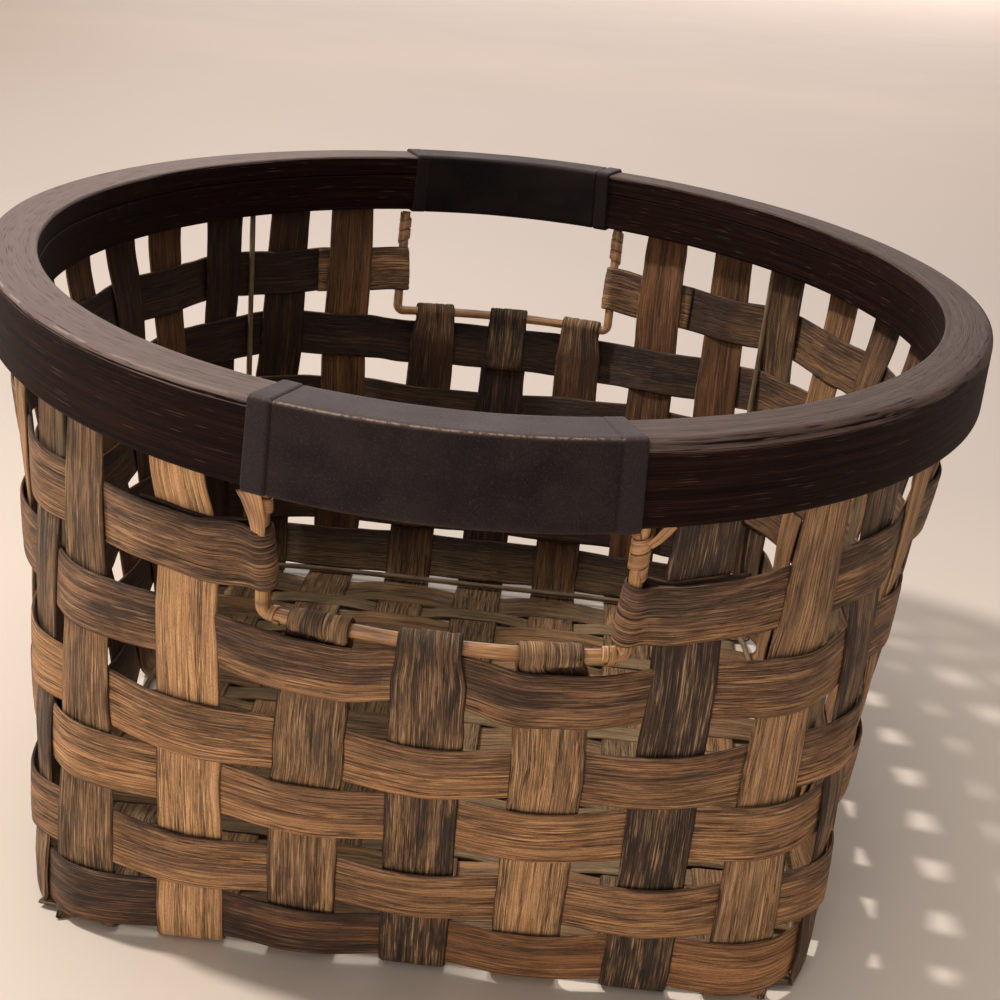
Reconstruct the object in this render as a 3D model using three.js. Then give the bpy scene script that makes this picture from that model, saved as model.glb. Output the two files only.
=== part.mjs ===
// Storage basket of flat wooden splints, woven over and under each other.
// The splints cross in the base, turn up as the stakes of the flared walls and end in a bent
// wooden rim. Short fillers close the base between the cross splints. Two leather grips are
// wrapped round the rim, with a hand hole under each.
// Millimetres, +Z up. The origin is on the floor, under the middle of the base.
// The front is towards -Y. The grips are at the front and the back.

import * as THREE from 'three';

// Splints
const splintThickness = 1.4;
const splintGap = 0.3;          // clearance between pieces that touch
const stakeWidth = 23;          // splints that cross in the base and stand in the walls
const weaverWidth = 21.5;       // splints that run round the walls
const flatMargin = 0.4;         // a splint stays flat this far past the one that it crosses

// Weave
const longReach = 3;            // long splints on each side of the middle one
const crossReach = 4;           // cross splints on each side of the middle one
const longPitch = 38.1;         // middle to middle of neighbours
const crossPitch = 36;
const fillerSlit = 2;           // left open on each side of a base filler
const fillerPast = 6;           // a filler ends this far past the outermost long splint
const firstRowLift = 4;         // floor to the lowest row
const closeSpacing = 3;         // free space between rows that lie in pairs
const openSpacing = 8.6;
const wideSpacing = 11.8;       // free space under the last full row
const rowSpacings = [closeSpacing, openSpacing, closeSpacing, wideSpacing];

// Base outline, from the middle of the outermost splints to the foot of the walls
const baseMarginAcross = 27.4;
const baseMarginAlong = 20.4;
const baseSquareness = 8.5;     // 2 is an ellipse, higher is closer to a rectangle

// Rim
const sideFlare = 46.6;         // how far the rim stands out past the base, left and right
const endFlare = 63.1;          // the same at the front and the back
const rimSquareness = 1.92;
const rimHeight = 26.4;
const rimThickness = 17.6;
const rimRound = 3.2;           // worn outer top edge
const rimBevel = 1.2;
const rimCap = 9;               // solid wood above the rebate
const rimSlot = 3.4;            // room for the stake heads between hoop and inner band
const headSeat = 13;            // how far the stakes reach up into the rim
const headBend = 1;             // the stakes turn upright this far below the rim
const topGap = 19.6;            // open band between the top row and the rim
const rimSteps = 76;

// Hand holes
const turnedReach = 1;          // stakes on each side of the middle that turn over the bar
const handHalfWidth = 54;       // middle of the hole to the middle of its upright
const handShift = 3;            // the hole sits a little to the right of its middle stake
const caneRadius = 2.2;
const caneBend = 3;
const turnedWidth = 19;         // the turned ends are trimmed a little narrower
const foldGap = 0.55;           // clearance inside a fold round the cane
const foldTurn = 225;           // degrees that a fold goes round the cane
const foldSteps = 8;
const barLift = 3;              // top of the last full row to the underside of the bar
const caneSides = 8;
const bendSteps = 4;
const barSteps = 8;
const returnPast = 4;           // the returned end of the top row, past the stake it lies on

// Lashing of split cane round the uprights
const lashingWidth = 3.6;
const lashingThickness = 0.8;
const lashingPitch = 5.4;
const lashingSteps = 8;         // steps in one turn

// Leather grips
const leatherThickness = 1;
const gripInset = 2;            // a grip is this much shorter at each end than its hand hole
const frontGripShift = 0;
const backGripShift = 5;
const gripSteps = 8;
const gripBand = 8;             // thicker turned edge at each end
const gripBandRise = 0.4;
const gripBandSlope = 1;

// Inner frame of round reed
const reedRadius = 1.3;
const reedSides = 6;
const hoopInset = 5.5;          // foot of the walls to the middle of the reed
const hoopSteps = 48;
const postInset = 3;            // corner of the weave to the middle of the post

// Sizes that follow
const layer = splintThickness + splintGap;
const baseLevel = (layer + splintThickness) / 2;
const baseHalfWidth = longReach * longPitch + baseMarginAcross;
const baseHalfDepth = crossReach * crossPitch + baseMarginAlong;
const slotHalfWidth = baseHalfWidth + sideFlare - rimThickness / 2;
const slotHalfDepth = baseHalfDepth + endFlare - rimThickness / 2;
const fullRows = rowSpacings.length + 1;
const topRow = fullRows + 1;
const foldRadius = caneRadius + foldGap + splintThickness / 2;
const barHeight = rowHeight(fullRows) + weaverWidth / 2 + barLift + caneRadius;
const rimUnderside = rowHeight(topRow) + weaverWidth / 2 + topGap;
const gripHalfLength = handHalfWidth - gripInset;
const gripGrowth = splintGap + leatherThickness;
const caneLean = Math.atan2(slotHalfDepth - baseHalfDepth, rimUnderside);
const gripUnderside = rimUnderside - gripGrowth - gripBandRise;
const fillerWidth = crossPitch - stakeWidth - 2 * fillerSlit;

const up = new THREE.Vector3(0, 0, 1);
const down = new THREE.Vector3(0, 0, -1);

// Height of the middle of a row. The top row clears the folds over the bar.
function rowHeight(row) {
  if (row <= fullRows) {
    const free = rowSpacings.slice(0, row - 1).reduce((sum, spacing) => sum + spacing, 0);
    return firstRowLift + weaverWidth / 2 + (row - 1) * weaverWidth + free;
  }
  return barHeight + foldRadius + splintThickness / 2 + splintGap + weaverWidth / 2;
}

// The four walls, in order round the basket. Each is seen from outside: along runs to the right.
const endOutline = {
  baseAcross: baseHalfWidth,
  baseOut: baseHalfDepth,
  rimAcross: slotHalfWidth,
  rimOut: slotHalfDepth,
  reach: longReach,
  pitch: longPitch,
  hasHand: true,
};
const sideOutline = {
  baseAcross: baseHalfDepth,
  baseOut: baseHalfWidth,
  rimAcross: slotHalfDepth,
  rimOut: slotHalfWidth,
  reach: crossReach,
  pitch: crossPitch,
  hasHand: false,
};
const walls = {
  front: { along: new THREE.Vector3(1, 0, 0), out: new THREE.Vector3(0, -1, 0), ...endOutline },
  right: { along: new THREE.Vector3(0, 1, 0), out: new THREE.Vector3(1, 0, 0), ...sideOutline },
  back: { along: new THREE.Vector3(-1, 0, 0), out: new THREE.Vector3(0, 1, 0), ...endOutline },
  left: { along: new THREE.Vector3(0, -1, 0), out: new THREE.Vector3(-1, 0, 0), ...sideOutline },
};

// A point at steps along some directions from another point
function moved(point, ...steps) {
  const result = point.clone();
  for (let i = 0; i < steps.length; i += 2) {
    result.addScaledVector(steps[i], steps[i + 1]);
  }
  return result;
}

// Distance out to a squared oval, at an offset from its middle
function ovalOut(offset, across, out, squareness) {
  const share = Math.abs(offset) / across;
  return out * Math.pow(1 - Math.pow(share, squareness), 1 / squareness);
}

// How steeply that distance changes along the wall
function ovalSlope(offset, across, out, squareness) {
  const share = Math.abs(offset) / across;
  const rest = Math.pow(1 - Math.pow(share, squareness), 1 / squareness - 1);
  return -Math.sign(offset) * (out / across) * Math.pow(share, squareness - 1) * rest;
}

// Place and directions at a point of a wall. The wall is straight from its foot to the rim.
function wallFrame(wall, offset, height) {
  const share = height / rimUnderside;
  const foot = ovalOut(offset, wall.baseAcross, wall.baseOut, baseSquareness);
  const head = ovalOut(offset, wall.rimAcross, wall.rimOut, rimSquareness);
  const footSlope = ovalSlope(offset, wall.baseAcross, wall.baseOut, baseSquareness);
  const headSlope = ovalSlope(offset, wall.rimAcross, wall.rimOut, rimSquareness);
  const slope = THREE.MathUtils.lerp(footSlope, headSlope, share);
  const distance = THREE.MathUtils.lerp(foot, head, share);
  const at = moved(new THREE.Vector3(), wall.along, offset, wall.out, distance, up, height);
  const rising = up.clone().multiplyScalar(rimUnderside);
  const climb = moved(rising, wall.out, head - foot).normalize();
  const around = moved(wall.along, wall.out, slope).normalize();
  const outward = new THREE.Vector3().crossVectors(around, climb).normalize();
  const across = new THREE.Vector3().crossVectors(climb, outward);
  const rise = new THREE.Vector3().crossVectors(outward, around);
  return { at, climb, around, outward, across, rise };
}

// A point of a squared oval and its outward direction, at a turn from the right
function ovalPoint(turn, halfWidth, halfDepth, squareness) {
  const [c, s] = [Math.cos(turn), Math.sin(turn)];
  const power = 2 / squareness;
  const x = Math.sign(c) * Math.pow(Math.abs(c), power);
  const y = Math.sign(s) * Math.pow(Math.abs(s), power);
  const normalX = Math.sign(c) * Math.pow(Math.abs(x), squareness - 1) / halfWidth;
  const normalY = Math.sign(s) * Math.pow(Math.abs(y), squareness - 1) / halfDepth;
  return {
    at: new THREE.Vector3(x * halfWidth, y * halfDepth, 0),
    outward: new THREE.Vector3(normalX, normalY, 0).normalize(),
  };
}

// The turn at which a squared oval passes a point, in the quarter to the right and the back
function ovalTurn(point, halfWidth, halfDepth, squareness) {
  const x = Math.pow(Math.abs(point.x) / halfWidth, squareness / 2);
  const y = Math.pow(Math.abs(point.y) / halfDepth, squareness / 2);
  return Math.atan2(y, x);
}

// Place and directions half way between the last stake of a wall and the first of the next one
function cornerFrame(startWall, endWall, height) {
  const quarter = startWall.along.clone().add(startWall.out);
  const pointOn = (level, ...oval) => {
    const start = wallFrame(startWall, startWall.reach * startWall.pitch, level).at;
    const end = wallFrame(endWall, -endWall.reach * endWall.pitch, level).at;
    const turn = (ovalTurn(start, ...oval) + ovalTurn(end, ...oval)) / 2;
    const { at, outward } = ovalPoint(turn, ...oval);
    return { at: at.multiply(quarter).setZ(level), outward: outward.multiply(quarter) };
  };
  const foot = pointOn(0, baseHalfWidth, baseHalfDepth, baseSquareness);
  const head = pointOn(rimUnderside, slotHalfWidth, slotHalfDepth, rimSquareness);
  const share = height / rimUnderside;
  const climb = new THREE.Vector3().subVectors(head.at, foot.at).normalize();
  const facing = foot.outward.lerp(head.outward, share);
  const around = new THREE.Vector3().crossVectors(climb, facing).normalize();
  const outward = new THREE.Vector3().crossVectors(around, climb);
  return { at: foot.at.lerp(head.at, share), outward };
}

// Skins matching outlines into one closed body, as a rod or, when closed, as a ring
function loft(outlines, closed = false) {
  const size = outlines[0].length;
  const count = outlines.length;
  const faces = [];
  for (let i = 0; i < (closed ? count : count - 1); i++) {
    for (let j = 0; j < size; j++) {
      const next = (i + 1) % count;
      const side = (j + 1) % size;
      faces.push(i * size + j, i * size + side, next * size + side);
      faces.push(i * size + j, next * size + side, next * size + j);
    }
  }
  const end = (count - 1) * size;
  for (let j = 1; !closed && j < size - 1; j++) {
    faces.push(0, j + 1, j);
    faces.push(end, end + j, end + j + 1);
  }
  return body(outlines.flat(), faces);
}

// Skins two nested rows of outlines into one open sleeve
function sleeve(outer, inner) {
  const size = outer[0].length;
  const count = outer.length;
  const shift = size * count;
  const faces = [];
  for (let j = 0; j < size; j++) {
    const side = (j + 1) % size;
    for (let i = 0; i < count - 1; i++) {
      const a = i * size + j;
      const b = i * size + side;
      faces.push(a, b, b + size, a, b + size, a + size);
      faces.push(shift + a, shift + b + size, shift + b, shift + a, shift + a + size, shift + b + size);
    }
    const a = (count - 1) * size + j;
    const b = (count - 1) * size + side;
    faces.push(j, shift + j, shift + side, j, shift + side, side);
    faces.push(a, b, shift + b, a, shift + b, shift + a);
  }
  return body([...outer.flat(), ...inner.flat()], faces);
}

// Geometry of points and faces, with its faces turned outwards
function body(points, faces) {
  let volume = 0;
  for (let i = 0; i < faces.length; i += 3) {
    const [a, b, c] = [points[faces[i]], points[faces[i + 1]], points[faces[i + 2]]];
    volume += a.dot(new THREE.Vector3().crossVectors(b, c));
  }
  const geometry = new THREE.BufferGeometry().setFromPoints(points);
  geometry.setIndex(volume > 0 ? faces : faces.reverse());
  geometry.computeVertexNormals();
  return geometry;
}

// A splint along stations, each with its place, its direction across and its outer side
function splint(stations, width, closed = false) {
  return loft(stations.map((station) => section(station, width, splintThickness)), closed);
}

function section({ at, across, outward, trimmed }, fullWidth, thickness) {
  const width = trimmed ?? fullWidth;
  const corners = [[-1, -1], [1, -1], [1, 1], [-1, 1]];
  return corners.map(([a, b]) => moved(at, across, a * width / 2, outward, b * thickness / 2));
}

// The stakes that are cut at a hand hole, and the splint ends that lie under a neighbour there
function isTurnedStake(wall, index) {
  return wall.hasHand && Math.abs(index) <= turnedReach;
}

function holdsEnd(wall, index, row) {
  const isLoop = wall.hasHand && row === topRow && Math.abs(index) === turnedReach + 1;
  return isLoop || (row === fullRows && isTurnedStake(wall, index));
}

// Even stakes pass outside the odd rows, and odd stakes outside the even ones
function isStakeOutside(index, row) {
  return (Math.abs(index) + row) % 2 === 1;
}

// Layers are counted outwards from the middle of the weave. Three lie at a cell with an end.
function stakeLayer(wall, index, row) {
  const depth = holdsEnd(wall, index, row) ? layer : layer / 2;
  return isStakeOutside(index, row) ? depth : -depth;
}

function weaverLayer(wall, index, row) {
  if (holdsEnd(wall, index, row)) {
    return isStakeOutside(index, row) ? 0 : layer;
  }
  return isStakeOutside(index, row) ? -layer / 2 : layer / 2;
}

function endLayer(index, row) {
  return isStakeOutside(index, row) ? -layer : 0;
}

// Half the length that one splint stays flat where another crosses it, askew near the corners
function flatHalf(frame, otherWidth, ownWidth) {
  const skew = Math.abs(frame.climb.dot(frame.around));
  return (otherWidth + ownWidth * skew) / 2 / Math.sqrt(1 - skew * skew) + flatMargin;
}

function stakeStation(frame, distance, depth) {
  return {
    at: moved(frame.at, frame.climb, distance, frame.outward, depth),
    across: frame.across,
    outward: frame.outward,
  };
}

function weaverStation(frame, distance, depth) {
  return {
    at: moved(frame.at, frame.around, distance, frame.outward, depth),
    across: frame.rise,
    outward: frame.outward,
  };
}

// The stake from the foot of its wall upwards
function wallStations(wall, index) {
  const offset = index * wall.pitch;
  const stations = [];
  const lastRow = isTurnedStake(wall, index) ? fullRows : topRow;
  for (let row = 1; row <= lastRow; row++) {
    const frame = wallFrame(wall, offset, rowHeight(row));
    const half = flatHalf(frame, weaverWidth, stakeWidth);
    const depth = stakeLayer(wall, index, row);
    stations.push(stakeStation(frame, -half, depth), stakeStation(frame, half, depth));
  }
  const ending = isTurnedStake(wall, index) ? turnOver(wall, index) : intoRim(wall, offset);
  return [...stations, ...ending];
}

// A stake head bends upright and stands in the slot of the rim
function intoRim(wall, offset) {
  const frame = wallFrame(wall, offset, rimUnderside);
  const outward = new THREE.Vector3().crossVectors(frame.around, up);
  return [
    { at: moved(frame.at, up, -headBend), across: frame.around, outward },
    { at: moved(frame.at, up, headSeat), across: frame.around, outward },
  ];
}

// The turn round the cane at a step of a fold, from its level side
function foldAngle(step) {
  const share = step / foldSteps - 0.5;
  return Math.PI / 2 + THREE.MathUtils.degToRad(foldTurn) * share;
}

// A cut stake goes over the bar of the hand hole and its end lies back on the last full row
function turnOver(wall, index) {
  const bar = wallFrame(wall, index * wall.pitch, barHeight);
  const row = wallFrame(wall, index * wall.pitch, rowHeight(fullRows));
  const half = flatHalf(row, weaverWidth, stakeWidth);
  const start = isStakeOutside(index, fullRows) ? 1 : -1;
  const stations = [];
  for (let step = 0; step <= foldSteps; step++) {
    const turn = foldAngle(step);
    const side = bar.outward.clone().multiplyScalar(start * Math.cos(turn));
    const radial = moved(side, bar.rise, Math.sin(turn));
    const outward = radial.clone().multiplyScalar(start);
    stations.push({ at: moved(bar.at, radial, foldRadius), across: bar.around, outward });
  }
  for (const distance of [half, flatMargin - weaverWidth / 2]) {
    const station = stakeStation(row, distance, endLayer(index, fullRows));
    stations.push({ ...station, outward: row.outward.clone().negate() });
  }
  return stations.map((station) => ({ ...station, trimmed: turnedWidth }));
}

// The rounded turn of a splint from the base into a wall
function turnUp(fromBase, toWall, corner) {
  const toCorner = new THREE.Vector3().subVectors(corner, fromBase.at);
  const toEnd = new THREE.Vector3().subVectors(toWall.at, corner);
  const curve = new THREE.QuadraticBezierCurve3(fromBase.at, corner, toWall.at);
  return [0.45, 0.7, 0.87].map((share) => {
    const along = toCorner.clone().multiplyScalar(1 - share).addScaledVector(toEnd, share).normalize();
    const width = fromBase.across.clone().lerp(toWall.across, share);
    const outward = new THREE.Vector3().crossVectors(width, along).normalize();
    const across = new THREE.Vector3().crossVectors(along, outward);
    return { at: curve.getPoint(share), across, outward };
  });
}

// Odd long splints pass under the cross splints and over the fillers, even ones the other way
function crossingsOfLong(index) {
  const sink = index % 2 === 0 ? -1 : 1;
  const crossings = [];
  for (let other = -crossReach; other <= crossReach; other++) {
    crossings.push({ place: other * crossPitch, width: stakeWidth, sink });
    if (other < crossReach) {
      crossings.push({ place: (other + 0.5) * crossPitch, width: fillerWidth, sink: -sink });
    }
  }
  return crossings;
}

function crossingsOfCross(sign) {
  const crossings = [];
  for (let other = -longReach; other <= longReach; other++) {
    const sink = other % 2 === 0 ? sign : -sign;
    crossings.push({ place: other * longPitch, width: stakeWidth, sink });
  }
  return crossings;
}

// The way of a splint over and under the others in the base, away from one wall
function acrossBase(startWall, offset, crossings) {
  const middle = moved(new THREE.Vector3(), startWall.along, offset, up, baseLevel);
  const stations = [];
  for (const { place, width, sink } of crossings) {
    const half = width / 2 + flatMargin;
    for (const distance of [-half, half]) {
      const at = moved(middle, startWall.out, -(place + distance), down, sink * layer / 2);
      stations.push({ at, across: startWall.along, outward: down });
    }
  }
  return stations;
}

// A short splint that fills the base between two cross splints
function baseFiller(index) {
  const stations = acrossBase(walls.left, -(index + 0.5) * crossPitch, crossingsOfCross(-1));
  const past = fillerPast - flatMargin;
  const [first, last] = [stations[0], stations[stations.length - 1]];
  const ends = [[first, 1], [last, -1]].map(([station, side]) => {
    return { ...station, at: moved(station.at, walls.left.out, side * past) };
  });
  return splint([ends[0], ...stations, ends[1]], fillerWidth);
}

// One splint from rim to rim: down one wall, woven through the base and up the other wall
function throughSplint(startWall, endWall, index, crossings) {
  const baseStations = acrossBase(startWall, index * endWall.pitch, crossings);
  const start = halfSplint(startWall, index, baseStations[0]);
  const reversed = (station) => ({ ...station, across: station.across.clone().negate() });
  const last = reversed(baseStations[baseStations.length - 1]);
  const end = halfSplint(endWall, -index, last).map(reversed);
  return splint([...start.reverse(), ...baseStations, ...end], stakeWidth);
}

function halfSplint(wall, index, baseStation) {
  const risen = wallStations(wall, index);
  const foot = wallFrame(wall, index * wall.pitch, baseLevel);
  return [...turnUp(baseStation, risen[0], foot.at), ...risen];
}

// A row that goes all the way round
function fullRow(row) {
  const stations = [];
  for (const wall of Object.values(walls)) {
    stations.push(...rowOnWall(wall, row, -wall.reach, wall.reach));
  }
  return splint(stations, weaverWidth, true);
}

function rowOnWall(wall, row, first, last) {
  const stations = [];
  for (let index = first; index <= last; index++) {
    const frame = wallFrame(wall, index * wall.pitch, rowHeight(row));
    const half = flatHalf(frame, stakeWidth, weaverWidth);
    const depth = weaverLayer(wall, index, row);
    stations.push(weaverStation(frame, -half, depth), weaverStation(frame, half, depth));
  }
  return stations;
}

// The top row stops at the hand holes, so it is two splints that go round one side wall each
function topRowHalf(startWall, sideWall, endWall) {
  const outer = turnedReach + 1;
  const stations = [
    ...loopEnd(startWall, outer, 1),
    ...rowOnWall(startWall, topRow, outer, startWall.reach),
    ...rowOnWall(sideWall, topRow, -sideWall.reach, sideWall.reach),
    ...rowOnWall(endWall, topRow, -endWall.reach, -outer),
    ...loopEnd(endWall, -outer, -1).reverse(),
  ];
  return splint(stations, weaverWidth);
}

// The end of the top row lies on a stake, goes behind the upright and comes round its front
function loopEnd(wall, index, side) {
  const height = rowHeight(topRow);
  const frame = wallFrame(wall, index * wall.pitch, height);
  const half = flatHalf(frame, stakeWidth, weaverWidth);
  const upright = wallFrame(wall, handShift + side * handHalfWidth, height);
  const hidden = endLayer(index, topRow);
  const inside = frame.outward.clone().negate();
  const stations = [];
  for (const distance of [side * (half + returnPast), -side * half]) {
    const station = weaverStation(frame, distance, hidden);
    stations.push({ ...station, outward: inside });
  }
  for (let step = 0; step <= foldSteps; step++) {
    const turn = foldAngle(step);
    const outward = upright.outward.clone().multiplyScalar(-Math.cos(turn));
    outward.addScaledVector(upright.around, -side * Math.sin(turn));
    stations.push({ at: moved(upright.at, outward, foldRadius), across: upright.climb, outward });
  }
  return stations;
}

// A ring of points round a place
function circle(at, first, second, radius, sides) {
  const points = [];
  for (let side = 0; side < sides; side++) {
    const turn = 2 * Math.PI * side / sides;
    points.push(moved(at, first, radius * Math.cos(turn), second, radius * Math.sin(turn)));
  }
  return points;
}

// Round rod through some points. The reference direction is never along it.
function rod(points, reference, radius, sides) {
  const outlines = points.map((at, i) => {
    const before = points[Math.max(i - 1, 0)];
    const after = points[Math.min(i + 1, points.length - 1)];
    const tangent = new THREE.Vector3().subVectors(after, before).normalize();
    const first = moved(reference, tangent, -reference.dot(tangent)).normalize();
    const second = new THREE.Vector3().crossVectors(tangent, first);
    return circle(at, first, second, radius, sides);
  });
  return loft(outlines);
}

// An upright ends under the grip, or under the bare rim where it stands past the grip's end
function caneTop(offset, gripShift) {
  const isUnderGrip = Math.abs(offset - gripShift) < gripHalfLength + caneRadius + splintGap;
  const ceiling = isUnderGrip ? gripUnderside : rimUnderside;
  return ceiling - splintGap - caneRadius * Math.sin(caneLean);
}

// The cane that edges a hand hole: down one side, along the bar and up the other
function handCane(wall, gripShift) {
  const left = handShift - handHalfWidth;
  const right = handShift + handHalfWidth;
  const points = [];
  const add = (offset, height) => points.push(wallFrame(wall, offset, height).at);
  const corner = (centre, turnFrom) => {
    for (let step = 0; step <= bendSteps; step++) {
      const turn = turnFrom + Math.PI / 2 * step / bendSteps;
      add(centre + caneBend * Math.cos(turn), barHeight + caneBend + caneBend * Math.sin(turn));
    }
  };
  add(left, caneTop(left, gripShift));
  corner(left + caneBend, Math.PI);
  for (let step = 1; step < barSteps; step++) {
    add(THREE.MathUtils.lerp(left + caneBend, right - caneBend, step / barSteps), barHeight);
  }
  corner(right - caneBend, Math.PI * 1.5);
  add(right, caneTop(right, gripShift));
  return rod(points, wall.out, caneRadius, caneSides);
}

// Split cane wound in an open spiral round the top of an upright
function lashing(wall, side, gripShift) {
  const offset = handShift + side * handHalfWidth;
  const low = rowHeight(topRow) + (weaverWidth + lashingWidth) / 2 + splintGap;
  const high = caneTop(offset, gripShift) - lashingWidth / 2;
  const frame = wallFrame(wall, offset, low);
  const length = (high - low) / frame.climb.z;
  const radius = caneRadius + splintGap + lashingThickness / 2;
  const count = Math.floor(length / lashingPitch * lashingSteps);
  const stations = [];
  for (let step = 0; step <= count; step++) {
    const turn = 2 * Math.PI * step / lashingSteps;
    const outward = frame.outward.clone().multiplyScalar(Math.cos(turn));
    outward.addScaledVector(frame.across, side * Math.sin(turn));
    const climbed = lashingPitch * step / lashingSteps;
    const at = moved(frame.at, frame.climb, climbed, outward, radius);
    stations.push({ at, across: frame.climb, outward });
  }
  leastLashingGap = Math.min(leastLashingGap, gapToItself(stations) - lashingWidth);
  return loft(stations.map((station) => section(station, lashingWidth, lashingThickness)));
}

// Least distance between points of the spiral that are a turn apart
let leastLashingGap = Infinity;

function gapToItself(stations) {
  let least = Infinity;
  for (let i = 0; i < stations.length; i++) {
    for (let j = i + lashingSteps / 2 + 1; j < stations.length; j++) {
      least = Math.min(least, stations[i].at.distanceTo(stations[j].at));
    }
  }
  return least;
}

// Outline of the rim's cross section, grown evenly outwards, from its inner bottom edge round
function rimOutline(growth) {
  const half = rimThickness / 2 + growth;
  const bottom = -growth;
  const top = rimHeight + growth;
  const eased = rimRound * (1 - Math.SQRT1_2);
  return [
    [rimBevel - half, bottom],
    [half - rimBevel, bottom],
    [half, bottom + rimBevel],
    [half, top - rimRound],
    [half - eased, top - eased],
    [half - rimRound, top],
    [rimBevel - half, top],
    [-half, top - rimBevel],
    [-half, bottom + rimBevel],
  ];
}

// The bent hoop: its outer face and top are whole, and a rebate below takes the inner band
function hoopProfile() {
  const outline = rimOutline(0);
  const ledge = rimHeight - rimCap;
  return [
    [rimSlot / 2, 0],
    ...outline.slice(1, -1),
    [-rimThickness / 2, ledge],
    [rimSlot / 2, ledge],
  ];
}

// The inner band that holds the stake heads against the hoop
function bandProfile() {
  const half = rimThickness / 2;
  const top = rimHeight - rimCap - splintGap;
  return [
    [-rimSlot / 2, 0],
    [-rimSlot / 2, top],
    [-half, top],
    [-half, rimBevel],
    [rimBevel - half, 0],
  ];
}

// A ring of the rim, with the profile placed square to the oval all the way round
function rimRing(profile) {
  const outlines = [];
  for (let step = 0; step < rimSteps; step++) {
    const turn = 2 * Math.PI * (step + 0.5) / rimSteps;
    const { at, outward } = ovalPoint(turn, slotHalfWidth, slotHalfDepth, rimSquareness);
    const place = ([distance, height]) => moved(at, outward, distance, up, rimUnderside + height);
    outlines.push(profile.map(place));
  }
  return loft(outlines, true);
}

// A leather grip wrapped once round hoop and band, with a thicker turned edge at each end
function grip(wall, shift) {
  const bandStart = gripHalfLength - gripBand;
  const body = bandStart - gripBandSlope;
  const cuts = [[-gripHalfLength, gripBandRise], [-bandStart, gripBandRise]];
  for (let step = 0; step <= gripSteps; step++) {
    cuts.push([body * (2 * step / gripSteps - 1), 0]);
  }
  cuts.push([bandStart, gripBandRise], [gripHalfLength, gripBandRise]);
  const outlineAt = (offset, growth) => {
    const frame = wallFrame(wall, shift + offset, rimUnderside);
    const outward = new THREE.Vector3().crossVectors(frame.around, up);
    const place = ([distance, height]) => moved(frame.at, outward, distance, up, height);
    return rimOutline(growth).map(place);
  };
  const outer = cuts.map(([offset, rise]) => outlineAt(offset, gripGrowth + rise));
  const inner = cuts.map(([offset]) => outlineAt(offset, splintGap));
  return sleeve(outer, inner);
}

// Reed hoop that lies on the base splints, along the foot of the walls
const hoopHeight = 2 * baseLevel + splintGap + reedRadius;

function hoopPoint(turn) {
  const halfWidth = baseHalfWidth - hoopInset;
  const halfDepth = baseHalfDepth - hoopInset;
  const point = ovalPoint(turn, halfWidth, halfDepth, baseSquareness);
  point.at.z = hoopHeight;
  return point;
}

function baseHoop() {
  const outlines = [];
  for (let step = 0; step < hoopSteps; step++) {
    const { at, outward } = hoopPoint(2 * Math.PI * (step + 0.5) / hoopSteps);
    outlines.push(circle(at, outward, up, reedRadius, reedSides));
  }
  return loft(outlines, true);
}

// Reed post inside a corner: it stands on the hoop and ends under the rim
function cornerPost(wall, nextWall) {
  const quarter = wall.along.clone().add(wall.out).setZ(1);
  const foot = hoopPoint(Math.PI / 4).at.multiply(quarter);
  foot.z += reedRadius + splintGap;
  const corner = cornerFrame(wall, nextWall, rimUnderside - splintGap);
  const head = moved(corner.at, corner.outward, -postInset);
  return rod([foot, head], corner.outward, reedRadius, reedSides);
}

// Finishes
function finish(color, roughness) {
  return new THREE.MeshStandardMaterial({ color, roughness, metalness: 0 });
}

const lightSplint = finish(0xa5734b, 0.7);
const darkSplint = finish(0x55412f, 0.72);
const brownWeaver = finish(0x7d5537, 0.7);
const redWeaver = finish(0x6b3f2c, 0.68);
const stainedRim = finish(0x32201c, 0.45);
const leather = finish(0x302828, 0.6);
const paleCane = finish(0xb4824b, 0.55);
const reed = finish(0x8a7a58, 0.65);

const basket = new THREE.Group();

function add(name, geometry, material) {
  const mesh = new THREE.Mesh(geometry, material);
  mesh.name = name;
  basket.add(mesh);
}

add('rim_hoop', rimRing(hoopProfile()), stainedRim);
add('rim_inner_band', rimRing(bandProfile()), stainedRim);

for (const [name, shift] of [['front', frontGripShift], ['back', backGripShift]]) {
  const wall = walls[name];
  add(`${name}_grip_wrap`, grip(wall, shift), leather);
  add(`${name}_hand_cane`, handCane(wall, shift), paleCane);
  add(`${name}_lashing_1`, lashing(wall, -1, shift), paleCane);
  add(`${name}_lashing_2`, lashing(wall, 1, shift), paleCane);
}

for (let index = -longReach; index <= longReach; index++) {
  const geometry = throughSplint(walls.front, walls.back, index, crossingsOfLong(index));
  const material = index % 2 === 0 ? darkSplint : lightSplint;
  add(`long_splint_${index + longReach + 1}`, geometry, material);
}

for (let index = -crossReach; index <= crossReach; index++) {
  const geometry = throughSplint(walls.left, walls.right, -index, crossingsOfCross(1));
  const material = index % 2 === 0 ? darkSplint : lightSplint;
  add(`cross_splint_${index + crossReach + 1}`, geometry, material);
}

for (let index = -crossReach; index < crossReach; index++) {
  add(`base_filler_${index + crossReach + 1}`, baseFiller(index), lightSplint);
}

for (let row = 1; row <= fullRows; row++) {
  add(`weaver_row_${row}`, fullRow(row), row % 2 === 0 ? brownWeaver : redWeaver);
}
add('top_weaver_right', topRowHalf(walls.front, walls.right, walls.back), brownWeaver);
add('top_weaver_left', topRowHalf(walls.back, walls.left, walls.front), brownWeaver);

add('base_hoop', baseHoop(), reed);
add('corner_post_front_left', cornerPost(walls.left, walls.front), reed);
add('corner_post_front_right', cornerPost(walls.front, walls.right), reed);
add('corner_post_back_left', cornerPost(walls.back, walls.left), reed);
add('corner_post_back_right', cornerPost(walls.right, walls.back), reed);

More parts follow.
